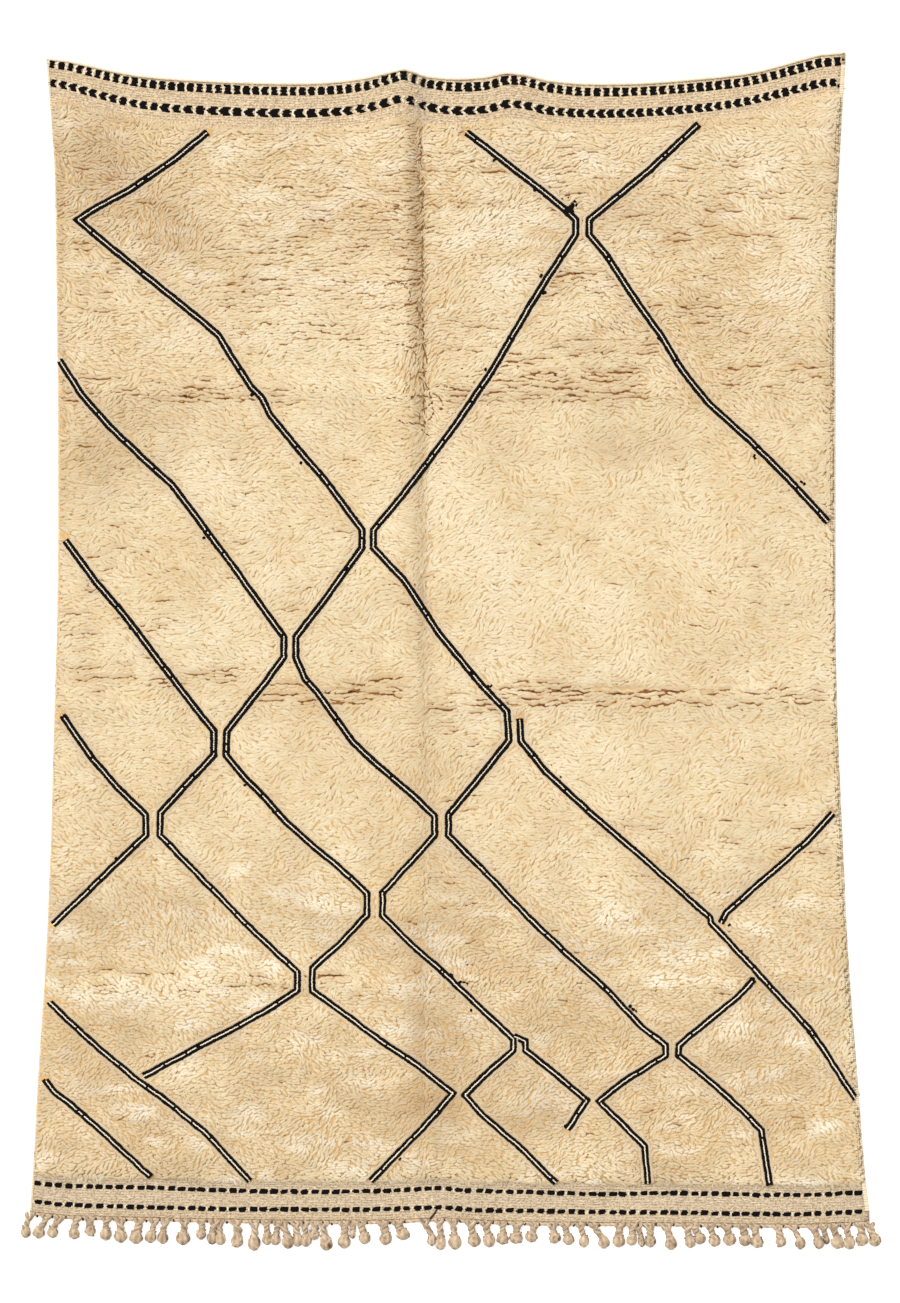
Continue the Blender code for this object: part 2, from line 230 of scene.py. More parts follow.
# Stray black tufts beside the lines: place in pixels, size and turn.
Stray = namedtuple("Stray", "x y length width turn")
STRAYS = tuple(Stray(*row) for row in (
    (568.5, 212, 28, 19, 50), (571, 208.5, 19, 13, 70), (576.3, 206, 13, 5, 85),
    (575, 202, 10, 6, -30), (572.5, 205, 11, 8, 60), (494, 161, 9, 6, 60), (535, 190, 11, 8, 40),
    (674, 150.5, 8, 6, 0), (544, 293, 14, 7, 20), (533, 298, 9, 8, 80), (541, 276, 12, 6, 60),
    (485.5, 370, 9, 5, 80), (659, 338, 12, 9, 60), (754, 456, 11, 5, 60), (755, 458.5, 7, 5, 0),
    (801, 482, 9, 5, -20), (804, 484, 8, 7, -10), (488, 687, 13, 6, 80), (491, 686, 10, 4, 60),
    (444, 972, 16, 9, 70), (451, 975, 12, 8, -30), (460, 982, 12, 6, 40), (464, 982, 9, 4, 10),
    (467, 983, 5, 4, -30), (471, 1010, 6, 6, 0), (484, 873, 13, 7, 0), (560.5, 777, 5, 4, 30),
    (604, 988, 14, 11, 40), (610, 991, 12, 9, 60), (630, 1006, 10, 7, 60), (633, 1009, 10, 7, -30),
    (636, 1011, 7, 4, -50), (741, 951, 9, 5, 20), (747.5, 957.5, 7, 4, 60), (809, 1031, 16, 12, 20),
    (814, 1035, 13, 10, -40), (729, 925, 10, 5, 50), (752, 978.5, 15, 7, 0), (566, 1126, 12, 9, 20),
    (571.5, 1127, 8, 5, 70), (400, 1158.5, 10, 4, 40), (252, 395, 10, 7, 40), (301, 463, 9, 6, 60),
    (204, 538, 9, 6, 30), (131, 627, 15, 8, 70), (137, 634, 13, 7, 40), (245, 785, 8, 5, 30),
    (116, 858, 9, 5, 30), (562, 199, 4, 3, 0), (568, 198, 4, 3, 40), (248, 784, 6, 3, 60),
    (839, 63, 13, 6, 65), (843.5, 59, 7, 5, 10), (839.5, 85.5, 10, 8, 80),
))
STRAY_WIDENING = 1.2
STRAY_LIFT = 3.4
STRAY_RISE = 1.7

# The fold's valley, where the pile lies along it: its place, how much painted shade its left side has and
# how far.
Valley = namedtuple("Valley", "y x shade reach")
VALLEY = tuple(Valley(*row) for row in (
    (-1340, -62, 0.16, 60), (-970, -64, 0.28, 60), (-500, -64, 0.18, 60), (-200, -64, 0.18, 60),
    (130, -63, 0.40, 80), (500, -62, 0.36, 85), (760, -66, 0.42, 66), (930, -68, 0.50, 54),
    (1130, -68, 0.54, 54), (1340, -76, 0.44, 50),
))
VALLEY_TURN = 80  # the locks' direction in it, in degrees

# How the pile lies by area: the area's middle and reach, the locks' direction in degrees, how much
# they swirl and how far they stand up. Elsewhere they lie across the rug.
Lie = namedtuple("Lie", "x y reach turn swirl relief")
LIES = tuple(Lie(*row) for row in (
    (-860, 1210, 190, 0, 1.7, 1.45), (-740, 1090, 110, 70, 1.0, 1.25), (-900, 700, 160, 0, 1.2, 1.15),
    (-325, 1150, 260, 0, 0.4, 1.30), (-480, 850, 220, 8, 0.5, 0.80), (-420, 480, 200, -12, 0.7, 0.65),
    (-20, 900, 90, 48, 0.6, 1.10), (70, 1180, 130, 30, 0.9, 1.15), (330, 1230, 200, 10, 1.0, 1.05),
    (600, 1150, 260, 0, 0.8, 1.05), (850, 1100, 160, -20, 0.9, 0.95), (600, 800, 220, -14, 0.9, 1.25),
    (60, 600, 90, 10, 0.5, 0.95), (350, 330, 260, 20, 1.5, 0.36), (800, 350, 240, 0, 1.3, 0.50),
    (-240, 110, 200, 24, 1.0, 0.52), (-700, 120, 220, 0, 0.8, 0.52), (-70, -280, 90, 62, 1.0, 0.70),
    (-400, -330, 200, 15, 1.2, 0.44), (300, -420, 220, 0, 1.1, 0.48), (700, -300, 260, 12, 1.2, 0.50),
    (-750, -820, 240, -38, 0.9, 0.72), (-300, -700, 160, 10, 1.2, 0.66),
    (-850, -1150, 180, 20, 1.3, 1.00), (-350, -1150, 200, 0, 1.2, 1.05),
    (150, -900, 200, 30, 1.2, 0.95), (550, -1180, 240, 10, 1.1, 1.05), (850, -950, 200, 40, 1.1, 0.80),
    (-80, 700, 70, 85, 0.5, 1.10), (-80, 420, 60, 80, 0.5, 0.95),
))
PLAIN_WEIGHT = 0.25
PLAIN_SWIRL = 0.7
PLAIN_RELIEF = 0.65
SWIRLS = (Wave(0.8, 74, 61), Wave(0.9, 33, 62), Wave(0.35, 17, 63))

# Where the pile gapes: areas of dark wavy cracks, whose dark floors are painted shade, by middle, half
# size, number, length and width.
Gape = namedtuple("Gape", "x y half_x half_y count length width")
GAPES = tuple(Gape(*row) for row in (
    (-740, 655, 240, 30, 30, 50, 1.1), (-500, 640, 200, 24, 14, 40, 0.9),
    (240, 662, 230, 40, 78, 46, 1.2), (300, 720, 200, 30, 16, 45, 0.9),
    (820, 690, 130, 24, 16, 45, 1.0), (330, 925, 110, 34, 22, 40, 1.0),
    (560, 860, 140, 40, 14, 50, 0.9), (-300, 880, 260, 130, 54, 50, 0.6),
    (-280, 1100, 230, 90, 44, 50, 0.65), (-520, 940, 160, 90, 26, 45, 0.6),
    (-850, 1060, 140, 220, 24, 38, 1.0), (-90, 1000, 60, 240, 18, 34, 1.1),
    (120, 1180, 190, 90, 18, 45, 1.0), (600, 1130, 330, 130, 34, 50, 1.0),
    (350, 780, 400, 60, 16, 50, 1.0), (-340, -105, 150, 24, 24, 55, 1.1),
    (-180, -90, 70, 22, 20, 32, 1.4), (330, -105, 190, 30, 52, 48, 1.45),
    (700, -120, 230, 26, 30, 45, 1.2), (-760, -60, 200, 40, 20, 55, 1.0),
    (-800, 90, 170, 110, 18, 45, 1.0), (60, -140, 90, 40, 14, 40, 1.1),
    (500, 200, 400, 180, 16, 36, 0.7), (-300, 300, 250, 220, 16, 45, 0.8),
    (-820, 360, 140, 180, 12, 45, 0.9), (-600, -820, 340, 30, 14, 55, 0.9),
    (650, -420, 280, 90, 14, 45, 0.8), (0, -400, 60, 260, 16, 28, 0.9),
    (300, -750, 500, 250, 20, 36, 0.8), (-500, -1050, 400, 220, 10, 20, 0.7),
    (450, -1200, 450, 120, 12, 26, 0.8),
))
CRACK_WAVES = (Wave(5.5, 38, 55), Wave(4.0, 14, 56))
CRACK_STEP = 7.0
CRACK_INSET = 10  # how far inside the pile's foot the cracks' floors stay
CRACK_LIFT = 0.45
CRACK_FLOOR = 1.6  # how far a crack's floor goes in under the locks on each side
CRACK_ENDS = 6  # how far past its floor a crack still parts the locks
CRACK_REACH = 30  # how far beside it the locks know of it
CRACK_CLEARANCE = 3.2  # from its rim to the nearest lock's middle

# The web of deep creases where the fold pinches the pile, drawn as dark lines of painted shade: each one's
# places in pixels.
WEB = (
    ((417.5, 371.5), (421, 373), (424.5, 372.5), (428, 371.5)),
    ((418.5, 377), (423, 380), (426, 384.5), (428.5, 390), (430.5, 397), (432, 403)),
    ((414, 376.5), (411, 381), (406, 385), (405, 391), (401, 396), (394, 399), (387.5, 398.5)),
    ((432, 403), (427, 407), (420, 411), (419, 420)), ((432, 403), (434, 412), (432, 418), (425, 423)),
    ((430.5, 397), (424, 397), (415, 395.5), (411.5, 398)), ((442, 381), (440, 386), (433, 389)),
    ((445, 386), (452, 388), (462, 391)), ((434, 394), (440, 398), (443, 404), (441, 409)),
    ((385, 322), (397, 325), (411, 325), (416, 327), (422, 330)), ((417, 309), (420, 316), (423, 321)),
    ((397, 345), (405, 346), (412, 349), (420, 344), (425, 345)), ((405, 352), (412, 350), (417, 356)),
    ((423, 346), (424, 352), (426, 356), (427, 363)), ((398, 420), (404, 424), (412, 423), (422, 425)),
    ((420, 429), (425, 433), (430, 436)), ((395, 207), (404, 206), (412, 209), (419, 209)),
    ((385, 286), (395, 283), (408, 285), (418, 284)), ((404, 286), (411, 293), (409, 301)),
)
WEB_PITCH = 5.0
SEAM = (1290, 560)  # from where to where the fold's valley is a dark broken line of painted shade
SEAM_REACH = 17.0  # how far to its left the pile is pinched
SEAM_SHARE = 0.6

# Broad soft patches that are browner (above 0) or paler than the rest, partly uneven tone and partly
# painted shade along the creases and beside the fold: middle, half size, amount.
Patch = namedtuple("Patch", "x y half_x half_y shade")
PATCHES = tuple(Patch(*row) for row in (
    (-850, 1230, 120, 130, 0.34), (-720, 1060, 90, 90, 0.30), (-820, 480, 150, 110, 0.26),
    (-900, 1000, 110, 160, 0.10), (-880, 230, 110, 160, 0.12), (-400, 1240, 260, 60, 0.05),
    (420, 1110, 90, 60, 0.26), (330, 650, 200, 50, 0.08), (560, 620, 180, 50, 0.04),
    (470, 517, 220, 60, 0.30), (220, 370, 110, 60, 0.16), (-740, 580, 160, 90, 0.14),
    (560, 1240, 420, 40, -0.04), (-100, 1250, 160, 50, -0.06), (840, 420, 80, 260, 0.08),
    (760, 100, 160, 40, 0.06), (-420, 40, 420, 90, 0.04), (700, 20, 90, 60, 0.06),
    (620, 800, 180, 60, 0.12), (-200, -100, 200, 40, 0.12), (330, -110, 220, 45, 0.14),
    (720, -140, 220, 45, 0.10), (-640, -100, 260, 50, 0.10), (-30, -450, 70, 420, 0.06),
    (-10, -1000, 90, 260, 0.20), (60, -1120, 180, 120, 0.08), (-150, -1180, 140, 130, 0.10),
    (200, -1150, 120, 90, 0.08), (800, -900, 120, 200, 0.08), (-900, -700, 80, 160, 0.12),
    (-700, -640, 80, 60, 0.10), (-330, 300, 200, 260, -0.06), (350, 250, 240, 160, -0.02),
    (-800, -850, 140, 40, -0.20), (-520, -860, 160, 40, -0.15), (850, 960, 90, 120, -0.12),
    (150, 100, 160, 90, -0.05), (-300, 860, 160, 120, -0.05),
))
SHADES = (Wave(0.10, 130, 75), Wave(0.06, 48, 76))
LOWER_SHADE = 0.12
LOWER_BLOTCHES = (Wave(0.13, 56, 77), Wave(0.09, 25, 79))

# The woven rows of black blocks in the plain end's band, by their depth below the cloth's edge.
BandRow = namedtuple("BandRow", "x near_edge near_pile")
UPPER_ROWS = tuple(BandRow(*row) for row in (
    (-990, 14, 61), (-870, 17.5, 69), (-725, 19.5, 75), (-375, 21, 76), (-200, 22, 77),
    (-125, 17, 73.5), (12, 22.5, 82), (100, 24, 83), (170, 18, 78), (330, 22, 76), (655, 22.5, 75),
    (775, 21.5, 70), (985, 22, 74),
))
# And in the fringed end's band, by their height above the cloth's edge.
LOWER_ROWS = (29.0, 76.0)
ROW_STEP = 6.0
BLOCK_INSET = 8  # how far from the rug's sides the plain end's blocks stay

Bar = namedtuple("Bar", "start end")
BLOCK_SHAPES = {
    "hourglass": (Bar(-9, 8), Bar(-6, 7), Bar(-8, 8), Bar(-6, 6), Bar(-9, 9)),
    "zigzag": (Bar(-9, 7), Bar(-9, 4), Bar(-5, 9), Bar(-7, 6), Bar(-9, 9)),
    "hook": (Bar(-7, 10), Bar(-9, 7), Bar(-10, 4), Bar(-7, 6), Bar(-8, 9)),
    "arrow": (Bar(-5, 11), Bar(-9, 8), Bar(-13, 6), Bar(-9, 8), Bar(-5, 12)),
    "fish": (Bar(-7, 9), Bar(-11, 8), Bar(-12, 6), Bar(-10, 9), Bar(-8, 13)),
    "star": (Bar(-6, 7), Bar(-10, 10), Bar(-8, 7), Bar(-10, 9), Bar(-8, 9)),
    "dash": (Bar(-7, 8), Bar(-9, 9), Bar(-8, 7)),
}
UPPER_KINDS = ("hourglass", "zigzag", "hook", "hourglass", "star")
LOWER_KINDS = ("arrow", "arrow", "fish", "star", "arrow")
FLOAT_COUNT = 900

# The plain end's cord with the dark groove beside it, drawn as dark stitches of painted shade, and the
# selvedges' stitches.
END_CORD_INSET = 2.2
END_CORD_PITCH = 5.0
END_CORD_TWIST = 16
GROOVE_INSET = 6.2
GROOVE_PITCH = 8.0
GROOVE_SHARE = 0.7
OVERCAST_PITCH = 5.6
Dots = namedtuple("Dots", "inset share")
SELVEDGE_DOTS = (Dots(7.5, 0.7), Dots(14.0, 0.5))  # each column's place in from the right edge
DOT_PITCH = 5.4
# A loose brown yarn that crosses the fringed end's band, as places in pixels.
LOOSE_YARN = ((436.5, 1210.5), (433.5, 1215), (430, 1219), (426.5, 1222))

# The fringe's tassels, in pixels: where each leaves the cloth, and its knot's middle and width.
Knot = namedtuple("Knot", "root x y width")
KNOTS = tuple(Knot(*row) for row in (
    (30, 25.5, 1232, 10), (46, 38.8, 1233, 11.5), (60, 52.5, 1232.5, 11), (77, 73.8, 1234, 11),
    (89.5, 90, 1231.5, 10.5), (107, 105.5, 1235, 12), (120, 120.5, 1237, 12), (139, 136, 1237.5, 13.3),
    (154, 150.5, 1237.5, 11), (166, 162.5, 1238, 10.5), (184, 183, 1239, 13.3),
    (200.5, 201, 1235, 9.5), (215, 212, 1239, 10.5), (219, 220.5, 1239.5, 10), (235, 237, 1241, 12.5),
    (254, 254, 1244, 12), (266, 267, 1239.5, 10), (277.5, 275.5, 1239.5, 10), (282, 288, 1242.5, 11.5),
    (296, 297.5, 1241, 10), (304, 306, 1241, 11), (315, 314, 1235.5, 10.5), (324, 326, 1243.5, 13),
    (344, 344, 1242, 12.5), (352.5, 352.5, 1235, 6), (361, 364.5, 1238.8, 11.5),
    (382.5, 385.5, 1239.5, 12), (397, 403, 1235, 13.5), (424, 432, 1240, 9), (439, 440.5, 1243, 10.5),
    (453, 454.8, 1242.8, 12.7), (471, 474, 1240.6, 12.5), (486, 489, 1241.3, 12),
    (502.5, 502.5, 1238.8, 12), (517, 516, 1238.5, 13), (534, 531.5, 1237.5, 12),
    (552, 554.8, 1238.5, 11.5), (566, 568.4, 1239.5, 11.5), (580, 584, 1242, 10),
    (594, 603.8, 1242.5, 11.5), (620, 618.8, 1241.3, 12.5), (632, 631.9, 1240.5, 10.5),
    (638.5, 641.5, 1242, 6.5), (650, 650.3, 1242, 10.5), (666, 671, 1243.5, 12),
    (688, 690, 1242.5, 10.5), (694, 700, 1239.5, 11), (710, 714.5, 1241.5, 11.5),
    (726, 729.5, 1240.5, 12.5), (742.5, 745, 1241, 12), (755, 757, 1242.5, 12),
    (777.5, 781, 1242, 10.5), (793, 800.5, 1244, 10), (813, 819, 1243.5, 10.5), (824, 826.5, 1240, 6),
    (833, 837.5, 1243, 12.5), (846, 849.5, 1243.5, 11), (860, 862, 1240.5, 12), (870, 875, 1240.5, 12),
))
KNOT_MIDDLE = 0.78  # where the knot's middle is, as a share of the tassel's length
KNOT_WIDTH = 30.8  # of a full-size knot, as in the sections below
KNOT_LUMPS = (Wave(2.0, 8, 91), Wave(1.2, 3.6, 92))
FLOOR_GAP = 0.35
Section = namedtuple("Section", "along half_width half_height")
PEAR = tuple(Section(*row) for row in (
    (0.50, 7.6, 6.2), (0.56, 9.4, 7.2), (0.63, 11.6, 8.4), (0.71, 13.8, 9.4), (0.80, 15.2, 9.9),
    (0.87, 15.0, 9.8), (0.93, 13.0, 8.7), (0.97, 9.4, 6.6), (0.992, 5.0, 4.2),
))
BALL = tuple(Section(*row) for row in (
    (0.53, 8.0, 6.2), (0.57, 10.8, 7.6), (0.63, 13.4, 9.0), (0.71, 15.0, 9.7), (0.80, 15.4, 9.9),
    (0.87, 14.6, 9.4), (0.93, 11.8, 8.0), (0.97, 7.8, 5.8), (0.994, 4.2, 3.6),
))
PEAR_SHARE = 0.35
TASSEL_SIDES = 20
GATHERS = 6
NECK_RINGS = 16
NECK_SIDES = 10
NECK_RADIUS = 5.4
NECK_SPREAD = 5.4
WRAP_RADIUS = 3.8
WRAP_RINGS = 11
CORD_SIDES = 8
EDGE_CORD_STEP = 3.0
EDGE_CORD_LEVEL = 5.4
EDGE_CORD_RADIUS = 4.2
EDGE_CORD_TWIST = 15
ROOT_MARK_OFFSET = (13.5, 20.0)  # how far to the right of a tassel's root its dark mark shows
ROOT_MARK_REACH = 1046
ROOT_MARK_LEVEL = 11.5

# Colours as they look on a screen, from 0 to 255.
CREAM = (242, 232, 203)
PALE_CREAM = (249, 241, 219)
TAN = (219, 190, 140)
# SHADE_BROWN is partly uneven tone and partly painted shade of the fold's valley, the creases, the cracks'
# sides and the pile's upper rim.
SHADE_BROWN = (162, 130, 86)
# Partly the roots' own brown, partly painted shade in the hollows between the locks.
ROOT_BROWN_AND_SHADE = (156, 102, 40)
MATTED_TAN = (222, 190, 138)
MATTED_BROWN = (206, 166, 108)
# Painted shade on the cracks' floors.
CRACK_TAN = (158, 108, 60)
CRACK_BROWN = (112, 70, 36)
# Painted shade of small gaps between the locks.
SPECK_TAN = (180, 130, 80)
SPECK_BROWN = (142, 94, 50)
MAUVE = (196, 178, 160)
BLACK_WOOL = (16, 12, 13)
# BLACK_HOLLOW, EDGE_TAN and DARK_HOLLOW are painted shade in the yarns' hollows, as TAN is in the pale
# knots'.
BLACK_HOLLOW = (9, 6, 7)
BEAD_CREAM = (253, 247, 232)
WEAVE = (236, 212, 174)
WEAVE_PALE = (250, 234, 204)
WEAVE_GREY = (222, 200, 168)
# Greyer weave, and painted shade right of the fold's valley in the plain end's band.
GREYING_AND_SHADE = (200, 184, 160)
# Painted shade between the weave's ribs, and the darker warp dots and streaks.
WEAVE_DARK = (164, 134, 98)
EDGE_CREAM = (249, 235, 208)
EDGE_TAN = (204, 178, 142)
COTTON = (233, 210, 179)
# Painted shade of the fringe: in its hollows, near the floor and on the side away from the light.
COTTON_DARK = (100, 72, 50)
DARK_THREAD = (70, 50, 40)
DARK_HOLLOW = (40, 28, 22)

# How the materials mix them.
ROOT_SHADE_POWER = 1.25  # how fast the roots' brown and the painted shade in the hollows fade towards a lock's ridge
ROOT_SHADE_SHARE = 0.74
PALE_BY_SHADE = -2.0  # how much paler the wool is for each step of shade below 0
RIB_PITCH = 6.4  # millimetres between the ribs of the flat weave
RIB_WOBBLE = 6.0
MIX_FACTOR, MIX_FIRST, MIX_SECOND = 0, 6, 7  # the mix node's inputs for colours
MIX_RESULT = 2

# The floor, the light and the camera; lengths in metres.
FLOOR_REACH = 12.0
FLOOR_LEVEL = -0.0005
FLOOR_COLOUR = (0.9, 0.9, 0.9, 1)
FLOOR_GLOW = 0.62
SUN_STRENGTH = 2.6
SUN_SPREAD = 9  # degrees
SUN_COLOUR = (1.0, 0.97, 0.92)
SUN_FROM = (-0.40, 0.54, 0.74)
SKY_COLOUR = (0.98, 0.975, 0.965, 1)
SKY_STRENGTH = 0.62
CAMERA_HEIGHT = 9.0486
PILE_LEVEL = 0.012
LENS = 100.0  # millimetres, like the sensor
SENSOR = 36.0


# ---------------------------------------------------------------- numbers


def on_rug(place):
    """A place in the photograph's pixels, as millimetres on the rug."""
    x, y = place[:2]
    return (x - PHOTO_MIDDLE[0]) * PIXEL, (PHOTO_MIDDLE[1] - y) * PIXEL


def column(table, name):
    return np.array([getattr(row, name) for row in table], float)


def even(low, high, step):
    """Values from low to high, as near to this step apart as fits."""
    count = max(int(round((high - low) / step)), 1)
    return np.linspace(low, high, count + 1)


def waves(x, y, size, seed):
    """Smooth values from -1 to 1 that change over about this size, the same at each run."""
    lattice = np.random.default_rng(seed).uniform(-1, 1, (LATTICE, LATTICE))
    u, v = np.asarray(x) / size + LATTICE_START, np.asarray(y) / size + LATTICE_START
    i, j = np.floor(u).astype(int), np.floor(v).astype(int)
    s, t = u - i, v - j
    s, t = s * s * (3 - 2 * s), t * t * (3 - 2 * t)
    return between(lambda a, b: lattice[(i + a) % LATTICE, (j + b) % LATTICE], s, t)


def between(corner, s, t):
    """A value between four corners, at these shares of the way along each axis."""
    near = corner(0, 0) * (1 - s) + corner(1, 0) * s
    far = corner(0, 1) * (1 - s) + corner(1, 1) * s
    return near * (1 - t) + far * t


def wavy(x, y, table, start=0.0):
    """The start with all of a table's waves added at each place."""
    for wave in table:
        start = start + wave.height * waves(x, y, wave.size, wave.seed)
    return start


def ease(value, low, high):
    """0 at low and below, 1 at high and above, smooth between them."""
    t = np.clip((np.asarray(value, float) - low) / (high - low), 0, 1)
    return t * t * (3 - 2 * t)


def resampled(points, pitch, smoothing=1):
    """Points at an even pitch along a line, its corners rounded a little, with their directions."""
    points = np.array(points, float)
    for _ in range(smoothing):
        quarter = points[:-1] * 0.75 + points[1:] * 0.25
        three = points[:-1] * 0.25 + points[1:] * 0.75
        middle = np.stack((quarter, three), 1).reshape(-1, points.shape[1])
        points = np.vstack((points[:1], middle[1:-1], points[-1:]))
    run = np.concatenate(([0], np.cumsum(np.linalg.norm(np.diff(points, axis=0), axis=1))))
    count = max(int(round(run[-1] / pitch)), 2)
    stops = np.linspace(0, run[-1], count + 1)
    places = np.stack([np.interp(stops, run, points[:, k]) for k in range(points.shape[1])], 1)
    return places, unit(np.gradient(places, axis=0))


def unit(vectors):
    return vectors / np.linalg.norm(vectors, axis=1)[:, None]


def turn_of(directions):
    return np.arctan2(directions[:, 1], directions[:, 0])


def beside_place(x, y, turn, along, out):
    """A place this far along and beside another."""
    return (
        x + along * math.cos(turn) - out * math.sin(turn),
        y + along * math.sin(turn) + out * math.cos(turn),
    )


def turned_towards(turn, other, share):
    """A direction turned by a share of the way towards another, the shorter way round."""
    difference = half_turn(other - turn)
    return turn + share * difference


def half_turn(turn):
    """The same line's direction, between minus and plus a quarter of a turn."""
    return (turn + math.pi / 2) % math.pi - math.pi / 2


# ---------------------------------------------------------------- the frame's cloth


class Cloth:
    """The frame's cloth, sampled from above and from below."""

    def __init__(self, node):
        mesh = node.data
        corners = [vertex.co.copy() for vertex in mesh.vertices]
        self.tree = BVHTree.FromPolygons(corners, [face.vertices[:] for face in mesh.polygons])
        low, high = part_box(node.name)
        self.shift = (low.x / MM - CLOTH_LEFT, high.y / MM - CLOTH_TOP)
        self.low = (low.x / MM - self.shift[0], low.y / MM - self.shift[1])
        self.high = (high.x / MM - self.shift[0], high.y / MM - self.shift[1])
        self.sample()
        self.find_edges()

    def levels(self, x, y):
        """Height of the underside and the upper face at one place, or None beside the cloth."""
        place = ((x + self.shift[0]) * MM, (y + self.shift[1]) * MM)
        above = self.tree.ray_cast(Vector((*place, RAY_HEIGHT)), Vector((0, 0, -1)))[0]
        below = self.tree.ray_cast(Vector((*place, -RAY_HEIGHT)), Vector((0, 0, 1)))[0]
        if above is None or below is None:
            return None
        return below.z / MM, above.z / MM

    def sample(self):
        columns = np.arange(self.low[0], self.high[0] + SAMPLE_STEP, SAMPLE_STEP)
        rows = np.arange(self.low[1], self.high[1] + SAMPLE_STEP, SAMPLE_STEP)
        self.origin = (columns[0], rows[0])
        levels = np.full((2, len(columns), len(rows)), np.nan)
        for i, x in enumerate(columns):
            for j, y in enumerate(rows):
                found = self.levels(x, y)
                if found:
                    levels[:, i, j] = found
        self.under, self.upper = (self.spread(layer) for layer in levels)

    def spread(self, layer):
        """Fills the samples beside the cloth with their neighbours' levels."""
        for _ in range(SPREAD_STEPS):
            for axis, step in ((0, 1), (0, -1), (1, 1), (1, -1)):
                beside = np.roll(layer, step, axis)
                layer = np.where(np.isnan(layer), beside, layer)
        return np.where(np.isnan(layer), np.nanmin(layer), layer)

    def read(self, layer, x, y):
        u = np.clip((np.asarray(x, float) - self.origin[0]) / SAMPLE_STEP, 0, layer.shape[0] - 1.001)
        v = np.clip((np.asarray(y, float) - self.origin[1]) / SAMPLE_STEP, 0, layer.shape[1] - 1.001)
        i, j = u.astype(int), v.astype(int)
        return between(lambda a, b: layer[i + a, j + b], u - i, v - j)

    def top(self, x, y):
        return self.read(self.upper, x, y)

    def bottom(self, x, y):
        return self.read(self.under, x, y)

    def is_cloth(self, x, y):
        return self.levels(x, y) is not None

    def is_pile(self, x, y):
        found = self.levels(x, y)
        return found is not None and found[1] - found[0] > PILE_THICKNESS

    def boundary(self, inside, start, way, reach):
        """How far the cloth or its pile goes from a place inside it, along X or Y."""
        near, far = 0.0, reach
        for _ in range(SEARCH_STEPS):
            middle = (near + far) / 2
            if inside(start[0] + way[0] * middle, start[1] + way[1] * middle):
                near = middle
            else:
                far = middle
        return near

    def find_edges(self):
        """The cloth's edges and the foot of its pile, at stations along each side."""
        edge, foot = self.search(self.is_cloth, EDGE_SPANS), self.search(self.is_pile, FOOT_SPANS)
        for side, (stations, values) in foot.items():
            padded = np.pad(values, FOOT_SMOOTHING, mode="edge")
            windows = np.lib.stride_tricks.sliding_window_view(padded, 2 * FOOT_SMOOTHING + 1)
            foot[side] = (stations, np.median(windows, axis=1))
        self.lines = {"edge": edge, "foot": foot}

    def search(self, inside, spans):
        """Each side's stations, with where the cloth or its pile ends at each one."""
        found = {}
        for side, way, stretch, start in (
            ("up", 1, spans.up, spans.up_start), ("down", -1, spans.down, -spans.down_start),
        ):
            stations = even(*stretch, STATION_STEP)
            ends = [start + way * self.boundary(inside, (x, start), (0, way), END_REACH) for x in stations]
            found[side] = (stations, np.array(ends))
        for side, way in (("left", -1), ("right", 1)):
            stations, start = even(*spans.sides, STATION_STEP), way * spans.side_start
            ends = [start + way * self.boundary(inside, (start, y), (way, 0), SIDE_REACH) for y in stations]
            found[side] = (stations, np.array(ends))
        return found

    def line(self, name, side, at):
        stations, values = self.lines[name][side]
        return np.interp(at, stations, values)

    def inside_foot(self, x, y):
        """How far a place lies inside the pile's rim; below 0 is outside it."""
        return np.minimum.reduce((
            self.line("foot", "up", x) - y,
            y - self.line("foot", "down", x),
            x - self.line("foot", "left", y),
            self.line("foot", "right", y) - x,
        ))

    def face(self, x, y):
        """Height of the woven sheet: with small cockles in the bands, and lower under the pile."""
        depth_in = self.inside_foot(x, y)
        drop = GROUND_DROP * ease(depth_in, -4, 8) * pile_relief(x, y)
        cockles = COCKLE.height * waves(x, y, COCKLE.size, COCKLE.seed) * ease(-depth_in, 0, 12)
        return np.maximum(self.top(x, y) - drop + cockles, self.bottom(x, y) + LEAST_THICKNESS)


# ---------------------------------------------------------------- meshes


def mesh_piece(name, cloth, points, faces, materials, values=None, material_of_face=None):
    """A smooth-shaded object from points in millimetres and faces of equal length."""
    points = np.asarray(points, float) + np.array((*cloth.shift, 0.0))
    faces = np.asarray(faces, np.int32)
    mesh = bpy.data.meshes.new(name)
    mesh.vertices.add(len(points))
    mesh.vertices.foreach_set("co", (points * MM).astype(np.float32).ravel())
    mesh.loops.add(faces.size)
    mesh.loops.foreach_set("vertex_index", faces.ravel())
    mesh.polygons.add(len(faces))
    mesh.polygons.foreach_set("loop_start", np.arange(0, faces.size, faces.shape[1], dtype=np.int32))
    mesh.update(calc_edges=True)
    mesh.shade_smooth()
    for key, numbers in (values or {}).items():
        layer = mesh.attributes.new(key, "FLOAT", "POINT")
        layer.data.foreach_set("value", np.asarray(numbers, np.float32))
    for material in materials:
        mesh.materials.append(material)
    if material_of_face is not None:
        mesh.polygons.foreach_set("material_index", np.asarray(material_of_face, np.int32))
    return new_object(name, mesh)


def new_object(name, data):
    """An object of this mesh, light or camera, put into the scene."""
    made = bpy.data.objects.new(name, data)
    bpy.context.scene.collection.objects.link(made)
    return made


